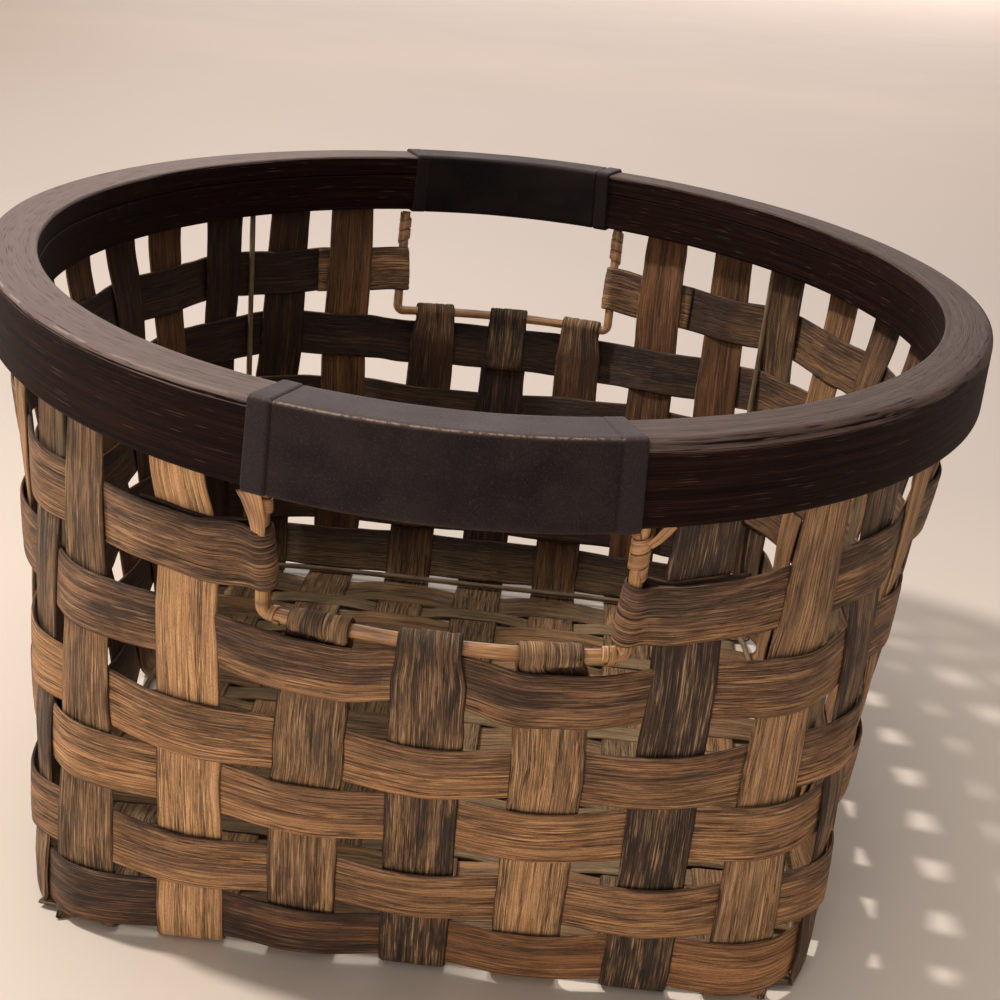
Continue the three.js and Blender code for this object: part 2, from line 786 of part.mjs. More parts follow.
console.log(`Least gap between turns of a lashing: ${leastLashingGap.toFixed(2)} mm`);

export default basket;
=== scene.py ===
# Woven storage basket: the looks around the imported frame.
# Metres, +Z up, the front grip towards -Y.
import bpy
import bmesh
import math
import random
import numpy as np
from mathutils import Euler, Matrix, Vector


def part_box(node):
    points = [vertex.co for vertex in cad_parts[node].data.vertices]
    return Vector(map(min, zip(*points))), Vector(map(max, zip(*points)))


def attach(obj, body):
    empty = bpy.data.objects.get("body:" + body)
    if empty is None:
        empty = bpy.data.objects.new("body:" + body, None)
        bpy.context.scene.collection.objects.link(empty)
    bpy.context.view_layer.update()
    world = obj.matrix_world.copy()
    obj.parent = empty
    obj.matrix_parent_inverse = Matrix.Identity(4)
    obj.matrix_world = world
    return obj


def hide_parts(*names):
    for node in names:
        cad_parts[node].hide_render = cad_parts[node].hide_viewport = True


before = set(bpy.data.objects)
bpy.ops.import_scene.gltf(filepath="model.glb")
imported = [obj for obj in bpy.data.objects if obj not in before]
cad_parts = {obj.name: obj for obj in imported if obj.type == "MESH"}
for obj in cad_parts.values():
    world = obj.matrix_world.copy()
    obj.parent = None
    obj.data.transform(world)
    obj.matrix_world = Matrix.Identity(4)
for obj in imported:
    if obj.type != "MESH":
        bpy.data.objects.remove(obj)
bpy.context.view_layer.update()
print("frame loaded:", len(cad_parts), "nodes")

# Heights come from the frame, so the looks follow it
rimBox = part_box("rim_hoop")
rowBoxes = [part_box(f"weaver_row_{row}") for row in range(1, 6)] + [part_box("top_weaver_left")]
rowHeights = [(low.z + high.z) / 2 for low, high in rowBoxes]

weave = {
    "thickness": 0.0014,
    "layer": 0.0017,
    "stakeWidth": 0.023,
    "weaverWidth": 0.0215,
    "fillerWidth": 0.012,
    "fillerTuck": 0.006,    # how far a filler reaches past its last crossing
    "crossingEnd": 0.001,   # a splint starts to bend this far inside a crossing
    "baseLevel": 0.00155,
    "footTurn": 0.003,      # radius of the turn from the base into a wall
    "footCorner": 0.29,     # how far the middle of that turn is drawn in, in radii
    "fullRows": 5,
    "topRow": 6,
    "turnedReach": 1,       # stakes each side of the middle that end at a hand hole
    "rimUnderside": rimBox[0].z,
    "stakeOut": 0.0005,     # the stakes hardly bend, the weavers bow round them
    "weaverOut": 0.0023,
    "weaverIn": 0.0018,
    "headStart": -0.001,
    "headSeat": 0.009,
    "bowProbe": 0.002,      # a wall's bend is measured this far to each side
    "bowLimit": 24,
}

hand = {
    "halfWidth": 0.054,
    "shift": 0.003,
    "caneRadius": 0.0022,
    "caneBend": 0.003,
    "barLift": 0.003,
    "barDrop": {"front": 0, "back": 0.006},
    "sag": {"front": 0.0022, "back": 0},    # the front bar sags towards the right
    "sagStart": -0.02,
    "sagRun": 0.06,
    "foldGap": 0.00055,
    "foldTurn": 225,
    "foldSteps": 8,
    "turnedWidth": 0.019,
    "stakeOut": 0.0014,     # how far out a turned stake stands at its last row
    "endFlat": 0.007,       # half the flat stretch of a weaver over an end
    "endIn": 0.0003,
    "endOut": 0.0029,
    "endOutFront": 0.0042,
    "tailIn": 0.002,        # the end that comes back lies between stake and weaver
    "tailOut": 0.0007,
    "tailStart": 0.009,
    "tailShort": 0.0004,
    "loopTail": 0.016,
}
hand["foldRadius"] = hand["caneRadius"] + hand["foldGap"] + weave["thickness"] / 2
hand["barHeight"] = rowHeights[4] + weave["weaverWidth"] / 2 + hand["barLift"] + hand["caneRadius"]
uprightAt = {side: hand["shift"] + side * hand["halfWidth"] for side in (-1, 1)}

up = Vector((0, 0, 1))
down = Vector((0, 0, -1))

baseHalf = (0.1417, 0.1644)     # half the width and half the depth at the floor
rimHalf = (0.1795, 0.2187)      # and under the rim
baseSquareness = 8.5
rimSquareness = 1.92
endOutline = {"base": (*baseHalf, baseSquareness), "rim": (*rimHalf, rimSquareness),
              "reach": 3, "pitch": 0.0381, "hasHand": True}
sideOutline = {"base": (*baseHalf[::-1], baseSquareness), "rim": (*rimHalf[::-1], rimSquareness),
               "reach": 4, "pitch": 0.036, "hasHand": False}
# inner says how much painted shade a wall shows on its inside; the right wall, lit inside, takes half
walls = {name: {"name": name, "inner": inner, "along": Vector(along), "out": Vector(out), **outline}
         for name, inner, along, out, outline in (
             ("front", 1, (1, 0, 0), (0, -1, 0), endOutline),
             ("right", 0.5, (0, 1, 0), (1, 0, 0), sideOutline),
             ("back", 1, (-1, 0, 0), (0, 1, 0), endOutline),
             ("left", 1, (0, -1, 0), (-1, 0, 0), sideOutline))}

# The basket in the picture is woven by hand: wallDrift says how far a stake stands aside at each
# height, rowDrop how much lower a row sits at each stake
wallDrift = {
    "front": {
        -2: [(0, 0), (0.16, 0), (0.188, -0.003)],
        -1: [(0.075, 0), (0.094, 0.0022), (0.127, 0.0034), (0.143, 0.0055)],
        1: [(0.1, 0), (0.127, -0.001), (0.143, -0.0033)],
        3: [(0, -0.003), (0.03, -0.0038), (0.1, -0.0036), (0.15, -0.0015), (0.188, 0)],
    },
    "right": {-4: [(0, 0.003), (0.05, 0.006), (0.188, 0.005)]},
    "back": {
        -3: [(0.03, 0.003), (0.09, 0.006), (0.188, 0.0065)],
        2: [(0.05, 0.002), (0.09, 0.0042), (0.13, 0.006), (0.188, 0.0065)],
        3: [(0.06, 0), (0.13, -0.003), (0.188, -0.0045)],
    },
    "left": {
        -4: [(0, 0.002), (0.1, 0.0055), (0.188, 0.006)],
        -3: [(0, 0.002), (0.1, 0.005), (0.188, 0.0055)],
    },
}
rowDrop = {
    "front": {
        2: [0.0005, 0.001, 0.001, 0.001, 0.001, 0.001, 0.0005],
        4: [0.001, 0.0012, 0.0008, 0.0006, 0.001, 0.0014, 0.0018],
        5: [0.0005, 0, -0.0022, -0.0016, 0.0004, 0.0024, 0.003],
        6: [0.0005, -0.003, 0, 0, 0, 0.0016, 0.0042],
    },
    "back": {
        3: [0, 0, 0.001, 0.0025, 0.0025, 0, 0],
        4: [0, 0.001, 0.003, 0.0052, 0.0048, 0.001, -0.001],
        5: [0.0035, 0.005, 0.006, 0.006, 0.0055, 0.0025, 0],
        6: [0.002, 0.002, 0.001, 0.001, 0.001, 0.0012, 0.0014],
    },
}
loopDrop = {-1: -0.0052, 1: 0.0012}     # of the top row at the front uprights


def ovalOut(offset, across, out, squareness):
    return out * (1 - (abs(offset) / across) ** squareness) ** (1 / squareness)


def ovalSlope(offset, across, out, squareness):
    share = abs(offset) / across
    rest = (1 - share ** squareness) ** (1 / squareness - 1)
    return -math.copysign(1, offset) * (out / across) * share ** (squareness - 1) * rest


def wallSlope(wall, offset, share):
    foot = ovalSlope(offset, *wall["base"])
    return foot + (ovalSlope(offset, *wall["rim"]) - foot) * share


def wallFrame(wall, offset, height):
    share = height / weave["rimUnderside"]
    foot = ovalOut(offset, *wall["base"])
    head = ovalOut(offset, *wall["rim"])
    slope = wallSlope(wall, offset, share)
    probe = weave["bowProbe"]
    bend = (wallSlope(wall, offset - probe, share) - wallSlope(wall, offset + probe, share)) / (2 * probe)
    climb = (up * weave["rimUnderside"] + wall["out"] * (head - foot)).normalized()
    around = (wall["along"] + wall["out"] * slope).normalized()
    outward = around.cross(climb).normalized()
    return {"at": wall["along"] * offset + wall["out"] * (foot + (head - foot) * share) + up * height,
            "climb": climb, "around": around, "outward": outward,
            "across": climb.cross(outward), "rise": outward.cross(around), "inner": wall["inner"],
            "bow": min(weave["bowLimit"], max(0, bend / (1 + slope * slope) ** 1.5))}


def ovalPoint(turn, halfWidth, halfDepth, squareness):
    c, s = math.cos(turn), math.sin(turn)
    x = math.copysign(abs(c) ** (2 / squareness), c)
    y = math.copysign(abs(s) ** (2 / squareness), s)
    normal = Vector((math.copysign(abs(x) ** (squareness - 1), x) / halfWidth,
                     math.copysign(abs(y) ** (squareness - 1), y) / halfDepth, 0))
    return Vector((x * halfWidth, y * halfDepth, 0)), normal.normalized()


def drift(wall, index, height):
    table = wallDrift.get(wall["name"], {}).get(index)
    if not table:
        return 0
    heights, shifts = zip(*table)
    return float(np.interp(height, heights, shifts))


def spot(wall, index, height):
    return wallFrame(wall, index * wall["pitch"] + drift(wall, index, height), height)


def rowLevel(wall, index, row):
    drops = rowDrop.get(wall["name"], {}).get(row)
    return rowHeights[row - 1] - (drops[index + wall["reach"]] if drops else 0)


def loopLevel(wall, side):
    return rowHeights[5] - (loopDrop[side] if wall["name"] == "front" else 0)


def barLevel(wall, offset):
    sag = hand["sag"][wall["name"]] * min(1, max(0, (offset - hand["sagStart"]) / hand["sagRun"]))
    return hand["barHeight"] - hand["barDrop"][wall["name"]] - sag


def holdsEnd(wall, index, row):
    loop = wall["hasHand"] and row == weave["topRow"] and abs(index) == weave["turnedReach"] + 1
    turned = wall["hasHand"] and row == weave["fullRows"] and abs(index) <= weave["turnedReach"]
    return loop or turned


def isStakeOutside(index, row):
    return (abs(index) + row) % 2 == 1


def stakeDepth(wall, index, row):
    depth = hand["stakeOut"] if holdsEnd(wall, index, row) else weave["stakeOut"]
    return depth if isStakeOutside(index, row) else -depth


def weaverDepth(wall, index, row):
    out, into = weave["weaverOut"], weave["weaverIn"]
    if holdsEnd(wall, index, row):
        isFrontTurn = wall["name"] == "front" and row == weave["fullRows"]
        out, into = hand["endOutFront" if isFrontTurn else "endOut"], hand["endIn"]
    return -into if isStakeOutside(index, row) else out


def tailDepth(index, row):
    return -hand["tailIn"] if isStakeOutside(index, row) else hand["tailOut"]


def station(at, along, across, outward, **more):
    return {"at": at, "along": along, "across": across, "outward": outward, **more}


def runLength(points):
    return np.concatenate([[0], np.cumsum(np.linalg.norm(np.diff(points, axis=0), axis=1))])


def smoothPath(stations, spacing):
    places, alongs, acrosses, outwards, shares = [], [], [], [], []
    for number, (a, b) in enumerate(zip(stations, stations[1:])):
        chord = (b["at"] - a["at"]).length
        leave, arrive = np.array(a["along"]) * chord, np.array(b["along"]) * chord
        count = max(2, math.ceil(chord / spacing))
        isLast = number == len(stations) - 2
        t = np.arange(count + 1 if isLast else count)[:, None] / count
        p0, p1 = np.array(a["at"]), np.array(b["at"])
        places.append((2 * t**3 - 3 * t**2 + 1) * p0 + (t**3 - 2 * t**2 + t) * leave
                      + (3 * t**2 - 2 * t**3) * p1 + (t**3 - t**2) * arrive)
        alongs.append((6 * t**2 - 6 * t) * (p0 - p1) + (3 * t**2 - 4 * t + 1) * leave
                      + (3 * t**2 - 2 * t) * arrive)
        acrosses.append((1 - t) * np.array(a["across"]) + t * np.array(b["across"]))
        outwards.append((1 - t) * np.array(a["outward"]) + t * np.array(b["outward"]))
        shares.append(number + t[:, 0])
    at, along = np.concatenate(places), np.concatenate(alongs)
    across, outward = np.concatenate(acrosses), np.concatenate(outwards)
    along /= np.linalg.norm(along, axis=1)[:, None]
    outward -= along * (outward * along).sum(1)[:, None]
    outward /= np.linalg.norm(outward, axis=1)[:, None]
    square = np.cross(outward, along)
    square *= np.sign((square * across).sum(1))[:, None]
    return {"at": at, "across": square, "outward": outward, "length": runLength(at),
            "share": np.concatenate(shares)}


def slowNoise(rng, length, cell, columns=1, closed=False):
    count = max(3, math.ceil(length[-1] / cell)) + 1
    table = np.array([[rng.random() for _ in range(columns)] for _ in range(count)])
    if closed:
        table[-1] = table[0]
    place = length / length[-1] * (count - 1)
    low = np.minimum(place.astype(int), count - 2)
    t = (place - low)[:, None]
    t = t * t * (3 - 2 * t)
    return table[low] * (1 - t) + table[low + 1] * t


def swing(*settings):
    return (slowNoise(*settings) - 0.5) * 2


def noiseRound(*settings):
    # the last column repeats the first, for a skin that closes round
    noise = slowNoise(*settings)
    return np.concatenate([noise, noise[:, :1]], axis=1)


def gridSkin(name, points, along, around, layers, closed, material, replaced=()):
    if closed:
        points[-1] = points[0]
    points[:, -1] = points[:, 0]
    rows, columns = points.shape[:2]
    mesh = bmesh.new()
    bmesh.ops.create_grid(mesh, x_segments=columns - 1, y_segments=rows - 1, size=1)
    mesh.verts.ensure_lookup_table()
    flat = points.reshape(-1, 3)
    uvs = np.stack(np.broadcast_arrays(along[:, None], around[None, :]), axis=2).reshape(-1, 2)
    made = [(mesh.verts.layers.float.new(key), np.broadcast_to(values, (rows, columns)).ravel())
            for key, values in layers.items()]
    for number, vert in enumerate(mesh.verts):
        vert.co = flat[number]
        for layer, values in made:
            vert[layer] = values[number]
    uvLayer = mesh.loops.layers.uv.new("splintUv")
    for face in mesh.faces:
        face.smooth = True
        for loop in face.loops:
            loop[uvLayer].uv = uvs[loop.vert.index]
    bmesh.ops.remove_doubles(mesh, verts=mesh.verts, dist=1e-7)
    if not closed:
        edges = [edge for edge in mesh.edges if edge.is_boundary]
        for face in bmesh.ops.holes_fill(mesh, edges=edges, sides=0)["faces"]:
            face.smooth = False
            for loop in face.loops:
                near = [other for other in loop.vert.link_loops if other.face is not face]
                loop[uvLayer].uv = near[0][uvLayer].uv
    bmesh.ops.recalc_face_normals(mesh, faces=mesh.faces)
    piece = addObject(name, meshData(name, mesh))
    piece.data.materials.append(material)
    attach(piece, "root")
    if replaced:
        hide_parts(*replaced)
    return piece


def meshData(name, mesh):
    data = bpy.data.meshes.new(name)
    mesh.to_mesh(data)
    mesh.free()
    return data


def addObject(name, data):
    made = bpy.data.objects.new(name, data)
    bpy.context.scene.collection.objects.link(made)
    return made


stripLook = {
    "thickness": 0.0014,
    "spacing": 0.0026,
    "columns": 22,          # cells across each face
    "edgePower": 8,         # how square the edges are
    "relief": 0.00016,      # depth of the grooves between strands
    "reliefCell": 0.03,
    "ragged": 0.00025,
    "raggedCell": 0.009,
    "sway": 0.0005,
    "swayCell": 0.06,
    "driftCell": 0.05,
    "twist": 0.03,
    "crown": 0.0002,
    "bendRibs": 1.6,        # how much deeper the grooves get at a sharp bend
    "toneCell": 0.045,
    "toneSwing": 0.11,
    "floorGap": 0.00004,    # the underside is pressed flat by the floor
}


def strip(name, stations, width, material, slot, seed, tones, replaced=(), closed=False, **changes):
    look = {**stripLook, **changes}
    rng = random.Random(seed)
    path = smoothPath(stations, look["spacing"])
    length, share = path["length"], path["share"]
    columns = look["columns"]
    even = np.linspace(-1, 1, columns + 1)
    spread = 0.7 * even + 0.3 * np.sin(even * math.pi / 2)
    # once over the outer face and back along the inner one
    a = np.concatenate([spread, spread[-2::-1]])
    face = np.concatenate([np.ones(columns + 1), -np.ones(columns)])
    height = np.power(np.maximum(0, 1 - np.abs(a) ** look["edgePower"]), 1 / look["edgePower"])
    sways = swing(rng, length, look["swayCell"], 2, closed)
    edges = swing(rng, length, look["raggedCell"], 2, closed)
    edges = (edges + swing(rng, length, look["driftCell"], 2, closed)) * look["ragged"]
    relief = noiseRound(rng, length, look["reliefCell"], 2 * columns, closed)
    relief = 0.35 * relief + 0.65 * relief ** 4
    # values that the stations carry: width, ribs at a bend, how much painted inside shade the inner face
    # takes (none where that face shows outside), and the bow across
    factor, ribs, inner, bow = (
        np.interp(share, range(len(stations)), [made.get(key, usual) for made in stations])
        for key, usual in (("width", 1), ("ribs", 0), ("inner", 1), ("bow", 0)))
    relief *= 1 + look["bendRibs"] * ribs[:, None]
    side = a * (width / 2 * factor[:, None]) + np.where(a < 0, edges[:, :1], edges[:, 1:]) * np.abs(a) ** 3
    side += sways[:, :1] * look["sway"]
    lift = face * height * (look["thickness"] / 2 - relief * look["relief"])
    lift += look["crown"] * (1 - a ** 2) + side * sways[:, 1:] * look["twist"] - side ** 2 * bow[:, None] / 2
    points = (path["at"][:, None, :] + path["across"][:, None, :] * side[:, :, None]
              + path["outward"][:, None, :] * lift[:, :, None])
    points[:, :, 2] = np.maximum(points[:, :, 2], look["floorGap"])
    around = np.concatenate([[0], np.cumsum(np.abs(np.diff(a)))]) * width / 2
    shift = (rng.random() * 3, rng.random())
    tone = np.interp(share, np.linspace(0, len(stations) - 1, len(tones)), tones)
    tone = tone[:, None] + swing(rng, length, look["toneCell"], 1, closed) * look["toneSwing"]
    layers = {"stripEdge": np.abs(a) ** 6, "stripSide": a, "stripInner": (face < 0) * inner[:, None],
              "stripRibs": ribs[:, None], "stripTone": tone}
    return gridSkin(name, points, length + shift[0], around + shift[1], layers, closed,
                    material, replaced)


rodLook = {"swellCell": 0.012, "knotWidth": 0.0012, "knotHeight": 0.08, "knotStart": 0.02, "knotPitch": 0.05}


def rod(name, spots, reference, radius, sides, spacing, material, seed, bumpy, replaced, closed=False):
    rng = random.Random(seed)
    count = len(spots)
    stations = []
    for number, at in enumerate(spots):
        before = spots[(number - 1) % (count - 1)] if closed else spots[max(number - 1, 0)]
        after = spots[(number + 1) % (count - 1)] if closed else spots[min(number + 1, count - 1)]
        along = (after - before).normalized()
        outward = (reference - along * reference.dot(along)).normalized()
        stations.append(station(at, along, along.cross(outward), outward))
    path = smoothPath(stations, spacing)
    length = path["length"]
    turns = np.linspace(0, 2 * math.pi, sides + 1)
    swell = radius * (1 + swing(rng, length, rodLook["swellCell"], 1, closed) * bumpy)
    knots = np.zeros(len(length))
    place = rodLook["knotStart"] + rng.random() * 0.03
    while place < length[-1]:
        knots += np.exp(-((length - place) / rodLook["knotWidth"]) ** 2)
        place += rodLook["knotPitch"] * (1 + rng.random())
    swell *= 1 + rodLook["knotHeight"] * knots[:, None]
    points = (path["at"][:, None, :]
              + path["across"][:, None, :] * (np.cos(turns) * swell)[:, :, None]
              + path["outward"][:, None, :] * (np.sin(turns) * swell)[:, :, None])
    return gridSkin(name, points, length + rng.random() * 3, turns * radius,
                    {"caneKnot": np.minimum(knots, 1)[:, None]}, closed, material, replaced)


def srgb(red, green, blue):
    def linear(value):
        value /= 255
        return value / 12.92 if value <= 0.04045 else ((value + 0.055) / 1.055) ** 2.4
    return (linear(red), linear(green), linear(blue), 1)


class Signal:
    # what comes out of a shader node: plain signs add, subtract, multiply and raise it
    def __init__(self, shader, socket):
        self.shader = shader
        self.socket = socket

    def __add__(self, other):
        return self.shader.value("ADD", self, other)

    def __sub__(self, other):
        return self.shader.value("SUBTRACT", self, other)

    def __rsub__(self, other):
        return self.shader.value("SUBTRACT", other, self)

    def __mul__(self, other):
        return self.shader.value("MULTIPLY", self, other)

    def __pow__(self, other):
        return self.shader.value("POWER", self, other)

    def clamped(self):
        self.socket.node.use_clamp = True
        return self

    def most(self, other):
        return self.shader.value("MAXIMUM", self, other)

    def range(self, low, high, outLow=0, outHigh=1):
        return self.shader.node("ShaderNodeMapRange", {"Value": self, "From Min": low, "From Max": high,
                                                       "To Min": outLow, "To Max": outHigh})

    def lines(self, thin, soft):
        # a thin line wherever the noise crosses its middle
        return self.shader.value("ABSOLUTE", self - 0.5).range(thin, soft, 1, 0)

    def ramp(self, places, colors):
        made = self.shader.node("ShaderNodeValToRGB", {"Fac": self})
        elements = made.socket.node.color_ramp.elements
        while len(elements) < len(places):
            elements.new(0.5)
        for element, place, color in zip(elements, places, colors):
            element.position = place
            element.color = srgb(*color)
        return made

    def painted(self, paint, mask):
        return self.shader.mix(mask, self, paint)


class Shader:
    def __init__(self, name):
        self.material = bpy.data.materials.new(name)
        self.material.use_nodes = True
        self.tree = self.material.node_tree

    def wire(self, value, socket):
        if isinstance(value, Signal):
            self.tree.links.new(value.socket, socket)
        else:
            socket.default_value = srgb(*value) if socket.type == "RGBA" else value

    def node(self, kind, inputs=(), output=0, **settings):
        made = self.tree.nodes.new(kind)
        for key, value in settings.items():
            setattr(made, key, value)
        for key, value in dict(inputs).items():
            self.wire(value, made.inputs[key])
        return Signal(self, made.outputs[output])

    def value(self, operation, *inputs):
        return self.node("ShaderNodeMath", dict(enumerate(inputs)), operation=operation)

    def mix(self, factor, first, second):
        return self.node("ShaderNodeMix", {0: factor, 6: first, 7: second}, 2, data_type="RGBA")

    def attribute(self, name):
        return self.node("ShaderNodeAttribute", output="Fac", attribute_name=name)

    def place(self):
        return self.node("ShaderNodeTexCoord", output="Object")

    def axis(self, name):
        return self.node("ShaderNodeSeparateXYZ", {0: self.place()}, name)

    def noise(self, place, scale, shift=(0, 0, 0), detail=3, roughness=0.55):
        moved = self.node("ShaderNodeMapping", {"Vector": place, "Scale": scale, "Location": shift})
        return self.node("ShaderNodeTexNoise", {"Vector": moved, "Scale": 1, "Detail": detail,
                                                "Roughness": roughness})

    def grain(self, along, across, shift=(0, 0), **settings):
        # noise drawn out along a piece, read from its own UV map
        place = self.node("ShaderNodeUVMap", uv_map="splintUv")
        return self.noise(place, (along, across, 1), (*shift, 0), **settings)

    def finish(self, color, roughness, bump=None, **others):
        surface = self.tree.nodes["Principled BSDF"].inputs
        self.wire(color, surface["Base Color"])
        self.wire(roughness, surface["Roughness"])
        if bump:
            bumped = self.node("ShaderNodeBump", dict(zip(("Height", "Distance", "Strength"), bump)))
            self.wire(bumped, surface["Normal"])
        for key, value in others.items():
            self.wire(value, surface[{"coat": "Coat Weight", "coatRoughness": "Coat Roughness",
                                      "specular": "Specular IOR Level"}[key]])
        return self.material


def splintWood(name, look):
    shader = Shader(name)
    fibres = shader.grain(34, 3100, detail=4, roughness=0.7)
    streaks = shader.grain(12, 1300, (4, 7), detail=2)
    broad = shader.grain(5, 170, (2, 9))
    clouds = shader.grain(24, 70, (1, 3), detail=4)
    inner = shader.attribute("stripInner")
    tone = shader.attribute("stripTone") + clouds.range(0.3, 0.7, -look["clouds"], look["clouds"])
    tone = tone + broad.range(0.35, 0.65, -look["broad"], look["broad"])
    # painted light: the lower part of each weaver is lighter, the upper part darker
    tone = (tone + shader.attribute("stripSide") * -look["paintedLowerLight"]).clamped()
    grain = fibres * 0.6 + streaks * 0.4
    steps = (0.38, 0.5, 0.62)
    color = grain.ramp(steps, look["deep"]).painted(grain.ramp(steps, look["pale"]), tone)
    # stain soaked into patches where the strip is dark
    patches = shader.grain(28, 110, (8, 5), detail=4).range(0.5, 0.56)
    patches = patches * tone.range(0.15, 0.6, look["patches"], 0)
    color = color.painted(look["soot"], patches)
    # inside, the base keeps its olive and the walls take painted shade, with a painted amber glow on the pale
    # strips
    insideShade = shader.mix(shader.axis("Z").range(0.006, 0.024), look["olive"], look["insideShade"])
    inside = insideShade.painted(color.painted(look["glowAmber"], 0.65), tone * look["paleGlow"])
    inside = inside.painted(look["line"], grain.range(0.4, 0.62, 0.3, 0))
    color = color.painted(inside, inner)
    # crisp dark lines along the grain, broken into dashes, denser where the strip is dark
    breaks = shader.grain(70, 800, (9, 2), detail=4)
    bunches = shader.grain(10, 230, (3, 3), detail=2)
    marks = shader.grain(15, 680, (6, 4), roughness=0.6).lines(0.022, 0.042)
    marks = marks * breaks.range(0.4, 0.5, 0.15, 1)
    finer = shader.grain(30, 1500, (2, 6), detail=2, roughness=0.6).lines(0.035, 0.06)
    finer = finer * breaks.range(0.48, 0.6, 0.8, 0)
    marks = marks.most(finer * 0.8) * (bunches + tone * -look["sparse"]).range(0.2, 0.42, 0.25, 1)
    gaps = shader.grain(9, 430, (7, 7), detail=4, roughness=0.65)
    marks = marks.most(gaps.range(0.62, 0.66, 0, 0.9))
    strength = (shader.attribute("stripRibs") * 0.2 + look["lineStrength"]).clamped()
    color = color.painted(look["line"], marks * strength)
    pores = shader.grain(900, 3300, (1, 8), detail=2).range(0.54, 0.68, 0, 0.42)
    color = color.painted(look["line"], pores)
    glints = shader.grain(13, 1300, (3, 8), detail=2).lines(0.016, 0.042)
    glints = glints * breaks.range(0.45, 0.6, 0, look["glints"])
    glints = glints * inner.range(0, 1, 1, 0.2) * patches.range(0, 1, 1, 0.3)
    color = color.painted(look["glint"], glints)
    color = color.painted(look["line"], shader.attribute("stripEdge") ** 3 * 0.65)
    height = fibres * 0.5 + streaks * 0.6 - marks * 0.6
    return shader.finish(color, streaks.range(0.3, 0.7, *look["roughness"]), (height, 0.0006, 0.9),
                         specular=0.28)


stakeWood = splintWood("stakeWood", {
    "deep": [(60, 46, 38), (85, 65, 52), (118, 94, 74)],
    "pale": [(184, 133, 89), (217, 164, 114), (233, 186, 136)],
    "olive": (152, 126, 92), "insideShade": (24, 17, 12), "paleGlow": 0.6, "glowAmber": (164, 98, 44),
    "line": (46, 30, 21), "sparse": 0.18, "lineStrength": 0.9,
    "soot": (60, 52, 48), "patches": 0.9,
    "glint": (216, 178, 134), "glints": 0.55,
    "clouds": 0.16, "broad": 0.16, "paintedLowerLight": 0.0, "roughness": (0.62, 0.8),
})
weaverWood = splintWood("weaverWood", {
    "deep": [(84, 61, 47), (118, 86, 65), (144, 109, 84)],
    "pale": [(160, 114, 74), (196, 143, 96), (216, 166, 117)],
    "olive": (144, 118, 85), "insideShade": (24, 17, 12), "paleGlow": 0.3, "glowAmber": (150, 104, 64),
    "line": (46, 29, 21), "sparse": 0.1, "lineStrength": 0.9,
    "soot": (64, 54, 50), "patches": 0.6,
    "glint": (208, 170, 128), "glints": 0.4,
    "clouds": 0.28, "broad": 0.2, "paintedLowerLight": 0.2, "roughness": (0.6, 0.76),
})
footWood = splintWood("footWood", {
    "deep": [(50, 34, 27), (76, 53, 41), (104, 75, 58)],
    "pale": [(156, 104, 65), (194, 134, 86), (212, 158, 108)],
    "olive": (146, 120, 86), "insideShade": (34, 25, 20), "paleGlow": 0.3, "glowAmber": (150, 104, 64),
    "line": (42, 27, 20), "sparse": 0.16, "lineStrength": 0.75,
    "soot": (54, 42, 38), "patches": 0.6,
    "glint": (200, 158, 118), "glints": 0.35,
    "clouds": 0.2, "broad": 0.16, "paintedLowerLight": 0.12, "roughness": (0.55, 0.72),
})
fillerWood = splintWood("fillerWood", {
    "deep": [(106, 86, 60), (132, 110, 79), (154, 130, 96)],
    "pale": [(128, 104, 73), (160, 134, 98), (178, 154, 116)],
    "olive": (150, 125, 91), "insideShade": (110, 92, 64), "paleGlow": 0.5, "glowAmber": (150, 125, 91),
    "line": (66, 50, 36), "sparse": 0.2, "lineStrength": 0.6,
    "soot": (84, 70, 52), "patches": 0.4,
    "glint": (196, 170, 132), "glints": 0.3,
    "clouds": 0.25, "broad": 0.14, "paintedLowerLight": 0.0, "roughness": (0.6, 0.75),
})


def caneWood(name, look):
    shader = Shader(name)
    fine = shader.grain(60, 2400)
    grain = fine * 0.6 + shader.grain(70, 200, (3, 1), detail=2) * 0.4
    color = grain.ramp((0.36, 0.5, 0.64), look["colors"])
    color = color.painted(look["knot"], shader.attribute("caneKnot") * 0.7)
    return shader.finish(color, fine.range(0.3, 0.7, *look["roughness"]), (grain, 0.0004, 0.6),
                         coat=look["coat"], coatRoughness=0.25)


paleCane = caneWood("paleCane", {
    "colors": [(104, 64, 36), (160, 114, 70), (198, 154, 104)],
    "knot": (92, 54, 28), "roughness": (0.35, 0.5), "coat": 0.25,
})
oliveReed = caneWood("oliveReed", {
    "colors": [(68, 55, 38), (112, 93, 66), (146, 124, 92)],
    "knot": (60, 46, 28), "roughness": (0.5, 0.65), "coat": 0.0,
})


